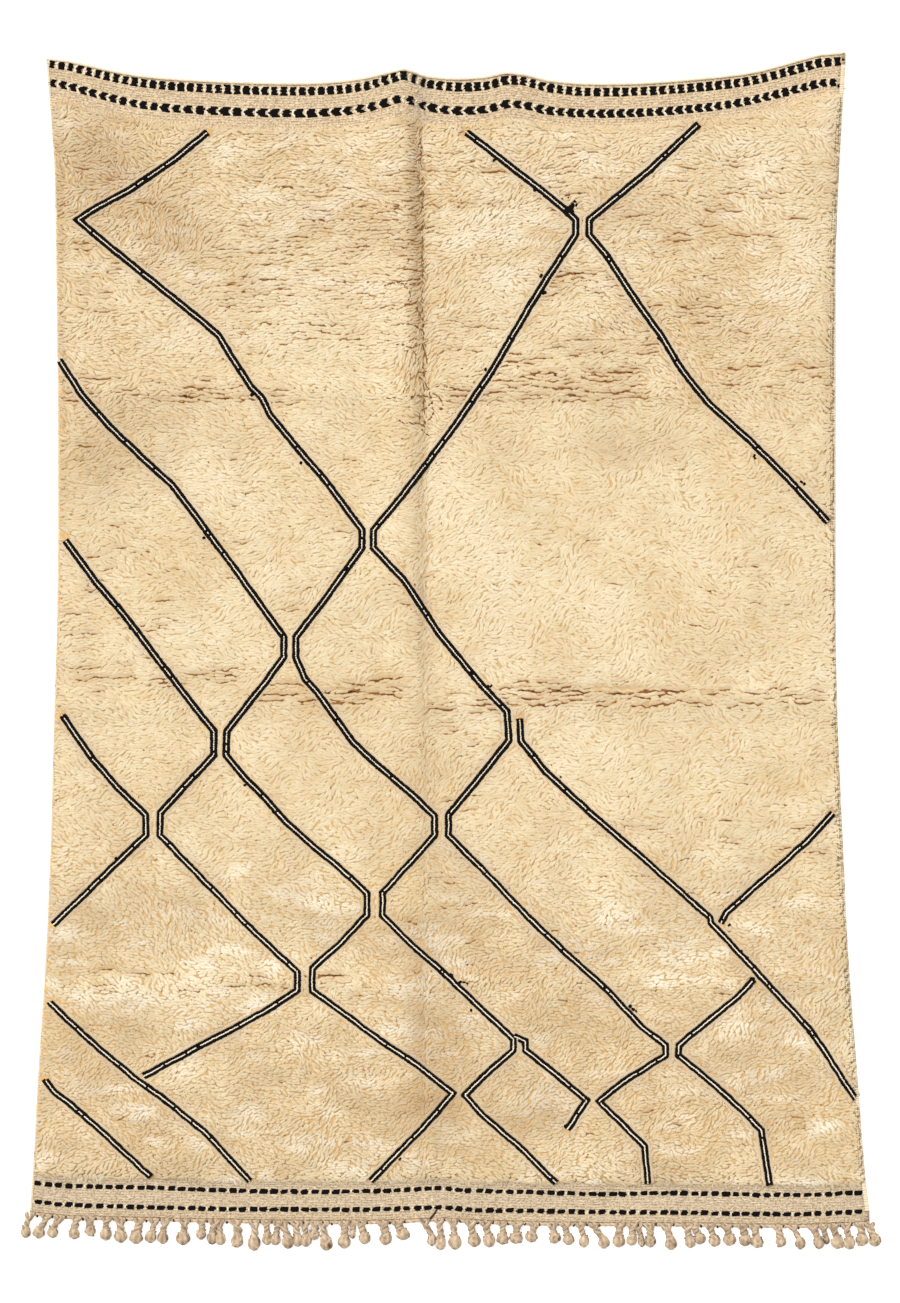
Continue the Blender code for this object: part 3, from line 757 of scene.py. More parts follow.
def stitches(x, y, z, turn, length, width, rise=1.0, shape=STITCH):
    """Many small roof-shaped stitches at once: their points, faces and depth values."""
    x, y, z, turn, length, width, rise = np.broadcast_arrays(x, y, z, turn, length, width, rise)
    along = np.outer(length, column(shape, "along"))
    across = np.outer(width, column(shape, "across"))
    level = np.outer(rise, column(shape, "level"))
    depth = np.tile(column(shape, "depth"), (len(x), 1))
    cosine, sine = np.cos(turn)[:, None], np.sin(turn)[:, None]
    points = np.stack(
        (
            x[:, None] + along * cosine - across * sine,
            y[:, None] + along * sine + across * cosine,
            z[:, None] + level,
        ),
        axis=2,
    ).reshape(-1, 3)
    return points, roof_faces(len(x)), depth.ravel()


def roof_faces(count):
    """The faces of this many locks or stitches, whose points follow each other."""
    starts = np.arange(count, dtype=np.int32)[:, None, None] * len(STITCH)
    return (ROOF_FACES[None] + starts).reshape(-1, 3)


def grid_faces(rows, columns):
    """Quads of a grid of points, as two triangles each."""
    index = np.arange(rows * columns, dtype=np.int32).reshape(rows, columns)
    a, b = index[:-1, :-1].ravel(), index[:-1, 1:].ravel()
    c, d = index[1:, 1:].ravel(), index[1:, :-1].ravel()
    return np.vstack((np.stack((a, b, c), 1), np.stack((a, c, d), 1)))


def tube_faces(count, sides):
    """Faces of a tube of this many rings, closed at its ends by two points after the rings."""
    faces = []
    for k in range(count - 1):
        for s in range(sides):
            a, b = k * sides + s, k * sides + (s + 1) % sides
            faces += [(a, b, b + sides), (a, b + sides, a + sides)]
    first, last, base = count * sides, count * sides + 1, (count - 1) * sides
    for s in range(sides):
        n = (s + 1) % sides
        faces += [(first, n, s), (last, base + s, base + n)]
    return np.array(faces, np.int32)


def loft(path, half_widths, half_heights, sides, ridges=0, ridge=0.0, turns=0.0, phase=0.0):
    """A closed tube along a path, with ridges that wind round it: points, faces and depth values."""
    path = np.asarray(path, float)
    count = len(path)
    ahead = unit(np.gradient(path, axis=0))
    side = unit(np.cross(ahead, (0, 0, 1)))
    up = np.cross(side, ahead)
    angle = np.linspace(0, math.tau, sides, endpoint=False)[None, :]
    share = np.linspace(0, 1, count)[:, None]
    wave = np.cos(ridges * angle + turns * math.tau * share + phase)
    wide, tall, high = (
        np.broadcast_to(sizes, count)[:, None] for sizes in (half_widths, half_heights, ridge)
    )
    scale = 1 + high * wave
    wide, tall = wide * np.cos(angle) * scale, tall * np.sin(angle) * scale
    rings = path[:, None] + side[:, None] * wide[:, :, None] + up[:, None] * tall[:, :, None]
    points = np.vstack((rings.reshape(-1, 3), path[:1], path[-1:]))
    depth = np.concatenate((0.5 - 0.5 * wave.ravel(), (0.5, 0.5)))
    return points, tube_faces(count, sides), depth


class Parts:
    """Points, faces and values of many small shapes, gathered into one piece."""

    def __init__(self):
        self.points, self.faces, self.values = [], [], {}
        self.count = 0

    def add(self, points, faces, **values):
        self.points.append(points)
        self.faces.append(faces + self.count)
        self.count += len(points)
        for key, numbers in values.items():
            self.values.setdefault(key, []).append(np.broadcast_to(numbers, (len(points),)))

    def stitch(self, *sizes, shape=STITCH, dark=1.0, **values):
        """Adds stitches of these sizes, with a share of their depth and one of each value for each."""
        points, faces, depth = stitches(*sizes, shape=shape)
        count = len(points) // len(shape)
        each = {key: np.repeat(np.broadcast_to(value, count), len(shape)) for key, value in values.items()}
        self.add(points, faces, depth=depth * dark, **each)

    def piece(self, name, cloth, material):
        values = {key: np.concatenate(parts) for key, parts in self.values.items()}
        return mesh_piece(name, cloth, np.vstack(self.points), np.vstack(self.faces), [material], values)


# ---------------------------------------------------------------- materials


def colour(screen):
    """A screen colour as the linear one that a shader takes."""
    shares = [value / 255 for value in screen]
    linear = [s / 12.92 if s <= 0.04045 else ((s + 0.055) / 1.055) ** 2.4 for s in shares]
    return (*linear, 1.0)


class Surface:
    """A material's nodes, with short ways to add and link them."""

    def __init__(self, name, roughness, sheen=0.0):
        self.material = bpy.data.materials.new(name)
        self.material.use_nodes = True
        self.tree = self.material.node_tree
        self.shader = self.tree.nodes["Principled BSDF"]
        self.shader.inputs["Roughness"].default_value = roughness
        self.shader.inputs["Specular IOR Level"].default_value = 0.15
        self.shader.inputs["Sheen Weight"].default_value = sheen
        self.shader.inputs["Sheen Roughness"].default_value = 0.6
        self.place = self.add("ShaderNodeTexCoord").outputs["Object"]

    def feed(self, socket, value):
        """Links another node's output to a socket, or sets the socket's own value."""
        if isinstance(value, bpy.types.NodeSocket):
            self.tree.links.new(value, socket)
        else:
            socket.default_value = value

    def add(self, kind, inputs=(), **settings):
        node = self.tree.nodes.new(kind)
        for key, value in settings.items():
            setattr(node, key, value)
        for key, value in dict(inputs).items():
            self.feed(node.inputs[key], value)
        return node

    def value(self, name):
        return self.add("ShaderNodeAttribute", attribute_name=name).outputs["Fac"]

    def maths(self, operation, a, b=0.0):
        return self.add("ShaderNodeMath", {0: a, 1: b}, operation=operation).outputs[0]

    def weighted(self, *terms):
        """The sum of some values, each times its weight."""
        total = self.maths("MULTIPLY", *terms[0])
        for term in terms[1:]:
            total = self.maths("ADD", total, self.maths("MULTIPLY", *term))
        return total

    def noise(self, size, stretch=(1, 1, 1), detail=2.0, offset=0.0):
        """Noise whose patches are about this size in millimetres, drawn out by the stretch."""
        scale = [1 / (size * MM * s) for s in stretch]
        placing = {"Vector": self.place, "Scale": scale, "Location": (offset,) * 3}
        placed = self.add("ShaderNodeMapping", placing).outputs[0]
        texture = {"Vector": placed, "Scale": 1.0, "Detail": detail}
        return self.add("ShaderNodeTexNoise", texture).outputs["Fac"]

    def spread_noise(self, low, high, *size, **kind):
        """Noise as shares: 0 where it is at low, 1 where it is at high."""
        limits = {"Value": self.noise(*size, **kind), "From Min": low, "From Max": high}
        return self.add("ShaderNodeMapRange", limits).outputs[0]

    def mix(self, factor, a, b):
        """One colour turned into another by a factor, which counts as 0 below 0 and as 1 above 1."""
        node = self.add("ShaderNodeMix", data_type="RGBA")
        for socket, value in ((MIX_FACTOR, factor), (MIX_FIRST, a), (MIX_SECOND, b)):
            self.feed(node.inputs[socket], value)
        return node.outputs[MIX_RESULT]

    def over(self, base, screen, amount, share=None):
        """A base with a screen colour laid over it, by an amount or a share of it."""
        if share is not None:
            amount = self.maths("MULTIPLY", amount, share)
        return self.mix(amount, base, colour(screen))

    def finish(self, base, height, relief):
        """Links the colour, and the height as a bump of this relief in millimetres."""
        self.tree.links.new(base, self.shader.inputs["Base Color"])
        bump = self.add("ShaderNodeBump", {"Height": height, "Strength": 1.0, "Distance": relief * MM})
        self.tree.links.new(bump.outputs[0], self.shader.inputs["Normal"])
        return self.material


def pile_wool():
    """Cream wool pile: mottled, browner at the roots with painted shade in the hollows between locks,
    browner or paler by its shade value with painted shade of the fold and creases, greyed beside the black
    lines.
    """
    s = Surface("pile_wool", roughness=0.92, sheen=0.08)
    patches = s.spread_noise(0.32, 0.68, 260, detail=3.0)
    clumps = s.spread_noise(0.3, 0.7, 34, (1.6, 1, 1))
    tufts = s.spread_noise(0.3, 0.7, 13, (1.5, 1, 1), detail=1.0, offset=4.0)
    streaks = s.spread_noise(0.52, 0.70, 46, (2.6, 1, 1), detail=3.0, offset=7.0)
    tone = s.weighted((patches, 0.24), (clumps, 0.20), (tufts, 0.22), (s.value("tone"), 0.34))
    base = s.mix(tone, colour(TAN), colour(CREAM))
    base = s.over(base, PALE_CREAM, streaks, s.value("streak"))
    # The shade value: uneven tone, with painted shade of the fold's valley, the creases, the cracks' sides
    # and the pile's upper rim.
    base = s.over(base, SHADE_BROWN, s.value("shade"))
    base = s.over(base, PALE_CREAM, s.value("shade"), PALE_BY_SHADE)
    base = s.over(base, MAUVE, s.value("smudge"))
    # Painted shade in the hollows between the locks, with the roots' own browner wool.
    base = s.over(base, ROOT_BROWN_AND_SHADE, s.maths("POWER", s.value("depth"), ROOT_SHADE_POWER), ROOT_SHADE_SHARE)
    return s.finish(base, s.noise(2.2, (2.5, 1, 1), detail=3.0), relief=0.5)


def ground_wool(name, pale, dark):
    """The matted roots that show between the locks, and the deeper brown in the cracks, which is painted
    shade.
    """
    s = Surface(name, roughness=0.95)
    base = s.mix(s.spread_noise(0.35, 0.7, 9, detail=3.0), colour(dark), colour(pale))
    return s.finish(base, s.noise(4), relief=0.6)


def yarn(name, pale, dark, grain=3.0, sheen=0.05, roughness=0.9, hollows=0.55):
    """Spun yarn: darker in its hollows, which is painted shade, with fine fibres."""
    s = Surface(name, roughness=roughness, sheen=sheen)
    mottle = s.spread_noise(0.3, 0.7, grain * 4, detail=3.0)
    darkness = s.weighted((mottle, 0.35), (s.value("tone"), 0.15), (s.value("depth"), hollows))
    base = s.mix(darkness, colour(pale), colour(dark))
    return s.finish(base, s.noise(grain, (1, 2, 1), detail=3.0), relief=0.6)


def woven_band():
    """The flat weave: uneven ribs across the rug, dotted where the warp shows, and mottled."""
    s = Surface("woven_band", roughness=0.93, sheen=0.05)
    mottle = s.spread_noise(0.32, 0.68, 38, (1.8, 1, 1), detail=3.0)
    slubs = s.spread_noise(0.42, 0.64, 5.0, (2.4, 0.9, 1), offset=3.0)
    dots = s.spread_noise(0.50, 0.64, 4.6, (1.2, 1.0, 1), offset=5.0)
    warps = s.spread_noise(0.46, 0.64, 4.4, (0.8, 5.0, 1), detail=1.0, offset=8.0)
    wobble = s.maths("MULTIPLY", s.noise(40, (2, 1, 1), offset=9.0), RIB_WOBBLE)
    phase = s.maths("MULTIPLY", s.maths("ADD", s.value("rib"), wobble), math.tau / RIB_PITCH)
    ribs = s.maths("ADD", s.maths("MULTIPLY", s.maths("SINE", phase), 0.5), 0.5)
    base = s.mix(mottle, colour(WEAVE_GREY), colour(WEAVE))
    base = s.over(base, WEAVE_PALE, slubs, 0.6)
    # Painted shade in the grooves between the ribs.
    base = s.over(base, WEAVE_DARK, s.maths("SUBTRACT", 1.0, ribs), 0.38)
    base = s.over(base, WEAVE_DARK, warps, 0.24)
    # Greyer in the fringed end's band and by the sides, and painted shade right of the fold's valley.
    base = s.over(base, GREYING_AND_SHADE, s.value("grey_and_fold_shade"))
    base = s.over(base, WEAVE_DARK, dots, 0.64)
    return s.finish(base, s.weighted((ribs, 0.5), (dots, -0.8), (slubs, 0.5)), relief=1.3)


def floor_finish():
    """The plain pale floor, bright enough to read as white."""
    s = Surface("floor", roughness=1.0)
    s.shader.inputs["Base Color"].default_value = FLOOR_COLOUR
    s.shader.inputs["Emission Color"].default_value = (1, 1, 1, 1)
    s.shader.inputs["Emission Strength"].default_value = FLOOR_GLOW
    return s.material


# ---------------------------------------------------------------- the cloth


def side_places(cloth, side, shares):
    """X of one side, at these shares of the cloth's length there."""
    x = cloth.line("edge", side, 0) * np.ones(len(shares))
    for _ in range(3):
        low, high = cloth.line("edge", "down", x), cloth.line("edge", "up", x)
        x = cloth.line("edge", side, low + (high - low) * shares)
    return x


def sheet_shares(cloth):
    """The sheet's rows, as shares of its length: close in the bands, wider under the pile."""
    low, foot_low, foot_high, high = (
        float(cloth.line(name, side, 0))
        for name, side in (("edge", "down"), ("foot", "down"), ("foot", "up"), ("edge", "up"))
    )
    span = high - low
    stops = (0.0, (foot_low - low) / span, (foot_high - low) / span, 1.0)
    return np.concatenate([
        even(stops[0], stops[1], BAND_ROW / span)[:-1],
        even(stops[1], stops[2], FIELD_ROW / span)[:-1],
        even(stops[2], stops[3], BAND_ROW / span),
    ])


def rim_faces(rows, columns):
    """The faces that close the sheet's rim, between its upper grid and the lower one after it."""
    index = np.arange(rows * columns).reshape(rows, columns)
    ring = np.concatenate((index[0, :-1], index[:-1, -1], index[-1, :0:-1], index[:0:-1, 0]))
    following = np.roll(ring, -1)
    below = rows * columns
    return np.vstack((
        np.stack((ring, following + below, following), 1),
        np.stack((ring, ring + below, following + below), 1),
    ))


def weave_values(x, y, low, high):
    """How grey the weave is at each place of the sheet, with painted shade right of the fold's valley in
    the plain end's band, and how far it is from its end.
    """
    gap = valley_gap(x, y)[0]
    # Painted shade right of the fold's valley in the plain end's band.
    crease = ease(y, 1150, 1300) * ease(gap, -12, 2) * (1 - ease(gap, 4, 60))
    grey_and_fold_shade = 0.44 * ease(-y, 1150, 1300) + 0.2 * ease(np.abs(x), 930, 1000) + 0.5 * crease
    rib = np.where(y > 0, high - y, y - low)
    return {"grey_and_fold_shade": np.tile(grey_and_fold_shade.ravel(), 2), "rib": np.tile(rib.ravel(), 2)}


def make_cloth(cloth, weave, ground):
    """The woven sheet: bands and selvedges as they lie, and the ground under the pile."""
    shares = sheet_shares(cloth)
    left, right = (side_places(cloth, side, shares)[:, None] for side in ("left", "right"))
    x = left + (right - left) * even(0, 1, COLUMN_SHARE)[None]
    low, high = cloth.line("edge", "down", x), cloth.line("edge", "up", x)
    y = low + (high - low) * shares[:, None]
    read_x = x.copy()
    read_x[:, 0] += RIM_READ
    read_x[:, -1] -= RIM_READ
    layers = (cloth.face(read_x, y), cloth.bottom(read_x, y))
    points = np.vstack([np.stack((x, y, z), 2).reshape(-1, 3) for z in layers])
    upper = grid_faces(*x.shape)
    faces = np.vstack((upper, upper[:, ::-1] + x.size, rim_faces(*x.shape)))
    centre = points[upper].mean(1)
    of_face = np.zeros(len(faces), int)
    of_face[:len(upper)] = cloth.inside_foot(centre[:, 0], centre[:, 1]) > GROUND_INSET
    values = weave_values(x, y, low, high)
    return mesh_piece("rug_cloth", cloth, points, faces, [weave, ground], values, of_face)


# ---------------------------------------------------------------- the lines


class Lines:
    """The double lines' middles, and how near and which way a place has them."""

    def __init__(self):
        self.middles = {name: np.array([on_rug(p) for p in places]) for name, places in LINES.items()}
        self.starts = np.vstack([points[:-1] for points in self.middles.values()])
        self.ends = np.vstack([points[1:] for points in self.middles.values()])

    def nearest(self, x, y):
        """Distance from each place to the nearest line, and that stretch's direction."""
        distance = np.full(x.shape, np.inf)
        direction = np.zeros(x.shape)
        for (ax, ay), (bx, by) in zip(self.starts, self.ends):
            dx, dy = bx - ax, by - ay
            share = np.clip(((x - ax) * dx + (y - ay) * dy) / (dx * dx + dy * dy), 0, 1)
            here = np.hypot(x - ax - share * dx, y - ay - share * dy)
            closer = here < distance
            distance = np.where(closer, here, distance)
            direction = np.where(closer, math.atan2(dy, dx), direction)
        return distance, direction


def beside(points, distance):
    """A line that runs at this distance beside another, its corners kept sharp."""
    ahead = unit(np.diff(points, axis=0))
    normal = np.stack((-ahead[:, 1], ahead[:, 0]), 1)
    corner = normal[:-1] + normal[1:]
    corner /= np.sum(corner * normal[1:], axis=1)[:, None]
    return points + distance * np.vstack((normal[:1], corner, normal[-1:]))


def add_strand(parts, cloth, middle, strand, side, chance, skip=0.0, keep=1.0):
    """A row of knots beside a line's middle, each lying across the row."""
    places, directions = resampled(beside(middle, side * strand.offset), strand.pitch, smoothing=0)
    first = int(skip / strand.pitch) + int(chance.integers(0, 2))
    kept = np.arange(len(places)) >= first
    kept &= chance.random(len(places)) < keep
    places, directions = places[kept], directions[kept]
    count = len(places)
    normal = np.stack((-directions[:, 1], directions[:, 0]), 1)
    lower = ease(-places[:, 1], *LOWER_PART)
    drift = (0.6 + 0.5 * lower) * waves(*places.T, 24, 41) + chance.normal(0, 0.25, count)
    x, y = (places + normal * drift[:, None]).T
    z = cloth.top(x, y) + strand.lift + chance.uniform(-0.3, 0.5, count)
    turn = turn_of(normal) + chance.normal(0, 0.16, count)
    uneven = 1 + 0.16 * waves(*places.T, 11, 42 + side) - (1 - strand.lower_width) * lower
    wide = strand.width * chance.uniform(0.90, 1.14, count) * uneven
    long = strand.length * (1 - (1 - strand.lower_length) * lower)
    tints = {"tone": chance.uniform(0.3, 0.8, count), "shade": pile_shade(x, y), "smudge": 0.25}
    parts.stitch(x, y, z, turn, wide, long, strand.rise, shape=strand.shape, dark=LINE_DEPTH, **tints)


def add_strays(dark, cloth):
    """The stray black tufts beside the lines."""
    x, y = np.array([on_rug(stray) for stray in STRAYS]).T
    turn, wide = np.radians(column(STRAYS, "turn")), column(STRAYS, "width") * STRAY_WIDENING
    sizes = (x, y, cloth.top(x, y) + STRAY_LIFT, turn, column(STRAYS, "length"), wide, STRAY_RISE)
    dark.stitch(*sizes, dark=LINE_DEPTH, tone=0.5, shade=0.0, smudge=0.0)


def make_lines(cloth, lines, black, cream, pile):
    """The black strands with their stray tufts, the pale knots between them, and those beside them."""
    chance = np.random.default_rng(5)
    dark, pale, shoulders = Parts(), Parts(), Parts()
    for name, middle in lines.middles.items():
        for side in (-1, 1):
            skip = HOOK_START if name == "short_hook" and side < 0 else 0.0
            add_strand(dark, cloth, middle, BLACK_STRAND, side, chance, skip)
            add_strand(shoulders, cloth, middle, SHOULDER_STRAND, side, chance, 2 * KNOT_PITCH)
        add_strand(dark, cloth, middle, BED_STRAND, 1, chance)
        add_strand(pale, cloth, middle, MIDDLE_STRAND, 1, chance, 0.0, BEAD_SHARE)
    add_strays(dark, cloth)
    return (
        dark.piece("lines_black", cloth, black), pale.piece("lines_cream", cloth, cream),
        shoulders.piece("lines_shoulders", cloth, pile),
    )


# ---------------------------------------------------------------- the pile


def valley_gap(x, y):
    """How far right of the fold's valley a place is, and how much painted shade the valley's side has
    there.
    """
    at = column(VALLEY, "y")
    return x - np.interp(y, at, column(VALLEY, "x")), np.interp(y, at, column(VALLEY, "shade"))


def lies_at(x, y):
    """Each area of the pile, with how much it counts at each place."""
    return [(lie, np.exp(-((x - lie.x) ** 2 + (y - lie.y) ** 2) / lie.reach**2)) for lie in LIES]


def lie_turn(x, y):
    """Which way the pile lies at each place, in radians; a half turn makes no difference."""
    weight = np.full(x.shape, PLAIN_WEIGHT)
    cosine, sine, swirl = weight.copy(), np.zeros(x.shape), weight * PLAIN_SWIRL
    for lie, here in lies_at(x, y):
        cosine += here * math.cos(math.radians(2 * lie.turn))
        sine += here * math.sin(math.radians(2 * lie.turn))
        swirl += here * lie.swirl
        weight += here
    turn = 0.5 * np.arctan2(sine, cosine) + swirl / weight * wavy(x, y, SWIRLS)
    gap = valley_gap(x, y)[0]
    upright = math.radians(VALLEY_TURN) + 0.3 * waves(x, y, 40, 66)
    return turned_towards(turn, upright, 0.8 * (1 - ease(np.abs(gap), 5, 18)))


def pile_relief(x, y):
    """How far the pile's locks stand up at each place, as a share of the most."""
    weight = np.full(np.shape(x), PLAIN_WEIGHT)
    relief = weight * PLAIN_RELIEF
    for lie, here in lies_at(x, y):
        relief = relief + here * lie.relief
        weight = weight + here
    gap = valley_gap(x, y)[0]
    pinched = np.exp(-(((gap + 0.7 * SEAM_REACH) / SEAM_REACH) ** 2)) * ease(y, 500, 800)
    return relief / weight + 0.7 * pinched


def pile_shade(x, y):
    """How much browner, or below 0 paler, the pile is at each place: uneven tone, with painted shade along
    the creases and on the fold's valley.
    """
    shade = wavy(x, y, SHADES) + LOWER_SHADE * ease(-y, 150, 700)
    shade = shade + wavy(0.7 * x, y, LOWER_BLOTCHES) * ease(-y, 250, 700)
    for patch in PATCHES:
        inside = ((x - patch.x) / patch.half_x) ** 2 + ((y - patch.y) / patch.half_y) ** 2
        shade = shade + patch.shade * np.exp(-inside)
    # Painted shade on the left side of the fold's valley and along its bottom.
    gap, strength = valley_gap(x, y)
    gap = gap + 5 * waves(x, y, 26, 59)
    reach = np.interp(y, column(VALLEY, "y"), column(VALLEY, "reach"))
    left = np.clip(1 + gap / reach, 0, 1) ** 1.3 * (gap < 0)
    right = 0.7 * (1 - ease(gap, 0, 9)) * (gap >= 0)
    return shade + strength * (left + right) * (0.8 + 0.45 * waves(x, y, 12, 60))


class Crack:
    """A dark wavy opening between two rows of locks."""

    def __init__(self, gape, chance):
        self.x = gape.x + gape.half_x * chance.uniform(-1, 1)
        self.y = gape.y + gape.half_y * chance.uniform(-1, 1)
        self.half = gape.length * chance.uniform(0.3, 0.75)
        self.width = gape.width * chance.uniform(0.5, 1.3)

    def route(self, x):
        """Y of the crack at each x."""
        row = np.zeros(np.shape(x)) + self.y * 13
        return wavy(x, row, CRACK_WAVES, self.y)

    def slope(self, x):
        return np.arctan2(self.route(x + 4) - self.route(x), 4)

    def opening(self, x):
        """Half the crack's width at each x, which narrows to nothing at its ends."""
        return self.width * np.sqrt(np.clip(1 - ((x - self.x) / (self.half + CRACK_ENDS)) ** 2, 0, 1))


def all_cracks():
    chance = np.random.default_rng(11)
    return [Crack(gape, chance) for gape in GAPES for _ in range(gape.count)]


class Locks:
    """The pile's locks: places, directions, and how each one is shaped by what lies beside it."""

    def __init__(self, cloth, lines, cracks):
        self.cloth = cloth
        self.chance = np.random.default_rng(3)
        self.place()
        distance, self.line_turn = lines.nearest(self.x, self.y)
        keep = distance > LINE_CLEARANCE
        self.x, self.y, self.rim_turn, self.rim_share, self.line_turn, self.distance = (
            values[keep]
            for values in (self.x, self.y, self.rim_turn, self.rim_share, self.line_turn, distance)
        )
        self.count = len(self.x)
        self.by_line = 1 - ease(self.distance, LINE_CLEARANCE, LINE_INFLUENCE)
        self.part_at(cracks)

    def place(self):
        """Wavy rows of locks out to the pile's rim, and the locks that lean out over the woven ends."""
        chance = self.chance
        lows, highs = self.cloth.lines["foot"]["down"][1], self.cloth.lines["foot"]["up"][1]
        rows = np.arange(math.floor(min(lows) / LOCK_ROW) - 1, math.ceil(max(highs) / LOCK_ROW) + 2)
        columns = np.arange(-LOCKS_REACH, LOCKS_REACH, LOCK_PITCH)
        row, x = (grid.ravel() for grid in np.meshgrid(rows, columns, indexing="ij"))
        step = chance.uniform(0, LOCK_PITCH, len(rows))[row - rows[0]]
        x = x + step + chance.uniform(-4.5, 4.5, len(x))
        y = row * LOCK_ROW
        y = wavy(x, y, ROW_WAVES, y) + chance.uniform(-2.4, 2.4, len(x))
        keep = self.cloth.inside_foot(np.where(x > 0, x - RIGHT_OVERHANG, x), y) > RIM_INSET
        x, y = x[keep], y[keep]
        turn, share = np.zeros(len(x)), np.zeros(len(x))
        for rim in RIMS:
            rim_x = np.arange(-1040, 1040, RIM_PITCH)
            rim_x = rim_x + chance.uniform(-2, 2, len(rim_x))
            rim_x = rim_x[np.abs(rim_x) < rim.reach]
            rim_y = self.cloth.line("foot", rim.side, rim_x) - rim.way * chance.uniform(-3.5, 5, len(rim_x))
            leans = math.radians(rim.lean) + chance.normal(0, 0.6, len(rim_x))
            x, y, turn = np.append(x, rim_x), np.append(y, rim_y), np.append(turn, leans)
            share = np.append(share, np.full(len(rim_x), RIM_SHARE))
        self.x, self.y, self.rim_turn, self.rim_share = x, y, turn, share

    def part_at(self, cracks):
        """Moves the locks apart along each crack, and keeps how near each one is to a crack."""
        self.crack_share, self.crack_turn, self.crack_side = np.zeros((3, self.count))
        for crack in cracks:
            beside_it = np.abs(self.x - crack.x) < crack.half + CRACK_ENDS
            near = np.flatnonzero(beside_it & (np.abs(self.y - crack.y) < CRACK_REACH))
            x, y = self.x[near], self.y[near]
            route, opening = crack.route(x), crack.opening(x)
            gap = y - route
            side = np.where(gap < 0, -1.0, 1.0)
            self.y[near] = route + side * np.maximum(np.abs(gap), CRACK_CLEARANCE + opening)
            share = np.clip(opening / 1.3, 0, 1) * (1 - ease(np.abs(gap), 6, 15))
            closer = share > self.crack_share[near]
            chosen = near[closer]
            self.crack_share[chosen] = share[closer]
            self.crack_turn[chosen] = crack.slope(x)[closer]
            self.crack_side[chosen] = side[closer]

    def heading(self, x, y):
        """Direction of each lock where its middle or a part of it lies."""
        turn = lie_turn(x, y) + self.jitter
        turn = turned_towards(turn, self.line_turn, self.by_line)
        turn = turned_towards(turn, self.crack_turn, self.crack_share)
        return turned_towards(turn, self.rim_turn, self.rim_share)

    def ridges(self, length):
        """Each lock's ridge, which follows the pile's lie: place and direction, by share of length."""
        ridge = {0.0: (self.x, self.y, half_turn(self.heading(self.x, self.y)))}
        for way in (-1, 1):
            x, y, turn = ridge[0.0]
            previous = 0.0
            for share in (LOCK_SECTIONS[1], LOCK_TIP.along):
                step = way * length * (share - previous)
                x, y = x + step * np.cos(turn), y + step * np.sin(turn)
                turn = turned_towards(turn, self.heading(x, y), 1.0)
                ridge[way * share] = (x, y, turn)
                previous = share
        return ridge

    def shape(self):
        """Points of every lock, and the depth of each point."""
        chance, line, stands = self.chance, self.cloth.line, pile_relief(self.x, self.y)
        self.jitter = chance.normal(0, 0.16, self.count)
        length = chance.uniform(*LOCK_LENGTH, self.count) * (1 - 0.25 * self.by_line)
        length *= 1 - LOWER_SHORTENING * ease(-self.y, 300, 700)
        width = chance.uniform(*LOCK_WIDTH, self.count) * (1 - 0.12 * self.by_line)
        ridge = self.ridges(length)
        relief = stands * chance.uniform(0.8, 1.2, self.count)
        lift = LOCK_RISE + stands * chance.normal(0, 0.8, self.count) - 0.8 * self.by_line
        points = np.empty((self.count, len(LOCK), 3))
        depth = np.empty((self.count, len(LOCK)))
        for k, (share, part) in enumerate(LOCK):
            x, y, turn = ridge[share]
            across = part.across * width
            px, py = x - across * np.sin(turn), y + across * np.cos(turn)
            left, right = line("foot", "left", py), line("foot", "right", py)
            px = np.clip(px, left - LEFT_OVERHANG, right + RIGHT_OVERHANG)
            facing = np.clip(-self.crack_side * np.sign(part.across), 0, 1) * self.crack_share
            level = part.level * relief - 1.2 * facing
            crown = self.cloth.top(np.clip(px, left + CROWN_INSET, right - CROWN_INSET), py)
            points[:, k, 0], points[:, k, 1] = px, py
            points[:, k, 2] = np.maximum(crown + lift + level, self.cloth.face(px, py) + 0.3)
            # A point's depth sets the painted shade of the lock's hollows, deeper on the side that faces a
            # crack.
            depth[:, k] = part.depth * (0.25 + 0.65 * stands) + 0.4 * facing
        return points, np.clip(depth, 0, DEEPEST)

    def tints(self):
        """The values that the pile's material mixes its colours by."""
        x, y = self.x, self.y
        rim = (1 - ease(self.cloth.inside_foot(x, y), 4, 26)) * ease(y, 0, 1000)
        return {
            "tone": np.clip(self.chance.normal(0.5, 0.24, self.count), 0, 1),
            # Painted shade beside the cracks and along the pile's rim in its upper half, where the locks
            # face the light.
            "shade": pile_shade(x, y) + 0.08 * self.crack_share + 0.22 * rim,
            # Greyer beside the black lines, in patches.
            "smudge": 0.45 * (1 - ease(self.distance, 12, 34)) * ease(waves(x, y, 70, 74), -0.5, 0.5),
            "streak": 0.10 + 0.80 * ease(-y, 350, 750) + 0.5 * ease(y, 700, 950),
        }


def make_pile(cloth, lines, cracks, material):
    """All locks, in a few pieces from the lower end to the upper one."""
    locks = Locks(cloth, lines, cracks)
    points, depth = locks.shape()
    tints = locks.tints()
    order = np.argsort(locks.y, kind="stable")
    pieces = []
    for k, part in enumerate(np.array_split(order, PILE_PIECES)):
        values = {key: np.repeat(each[part], len(LOCK)) for key, each in tints.items()}
        values["depth"] = depth[part].ravel()
        corners = points[part].reshape(-1, 3)
        name = f"pile_{k + 1}"
        pieces.append(mesh_piece(name, cloth, corners, roof_faces(len(part)), [material], values))
    return pieces


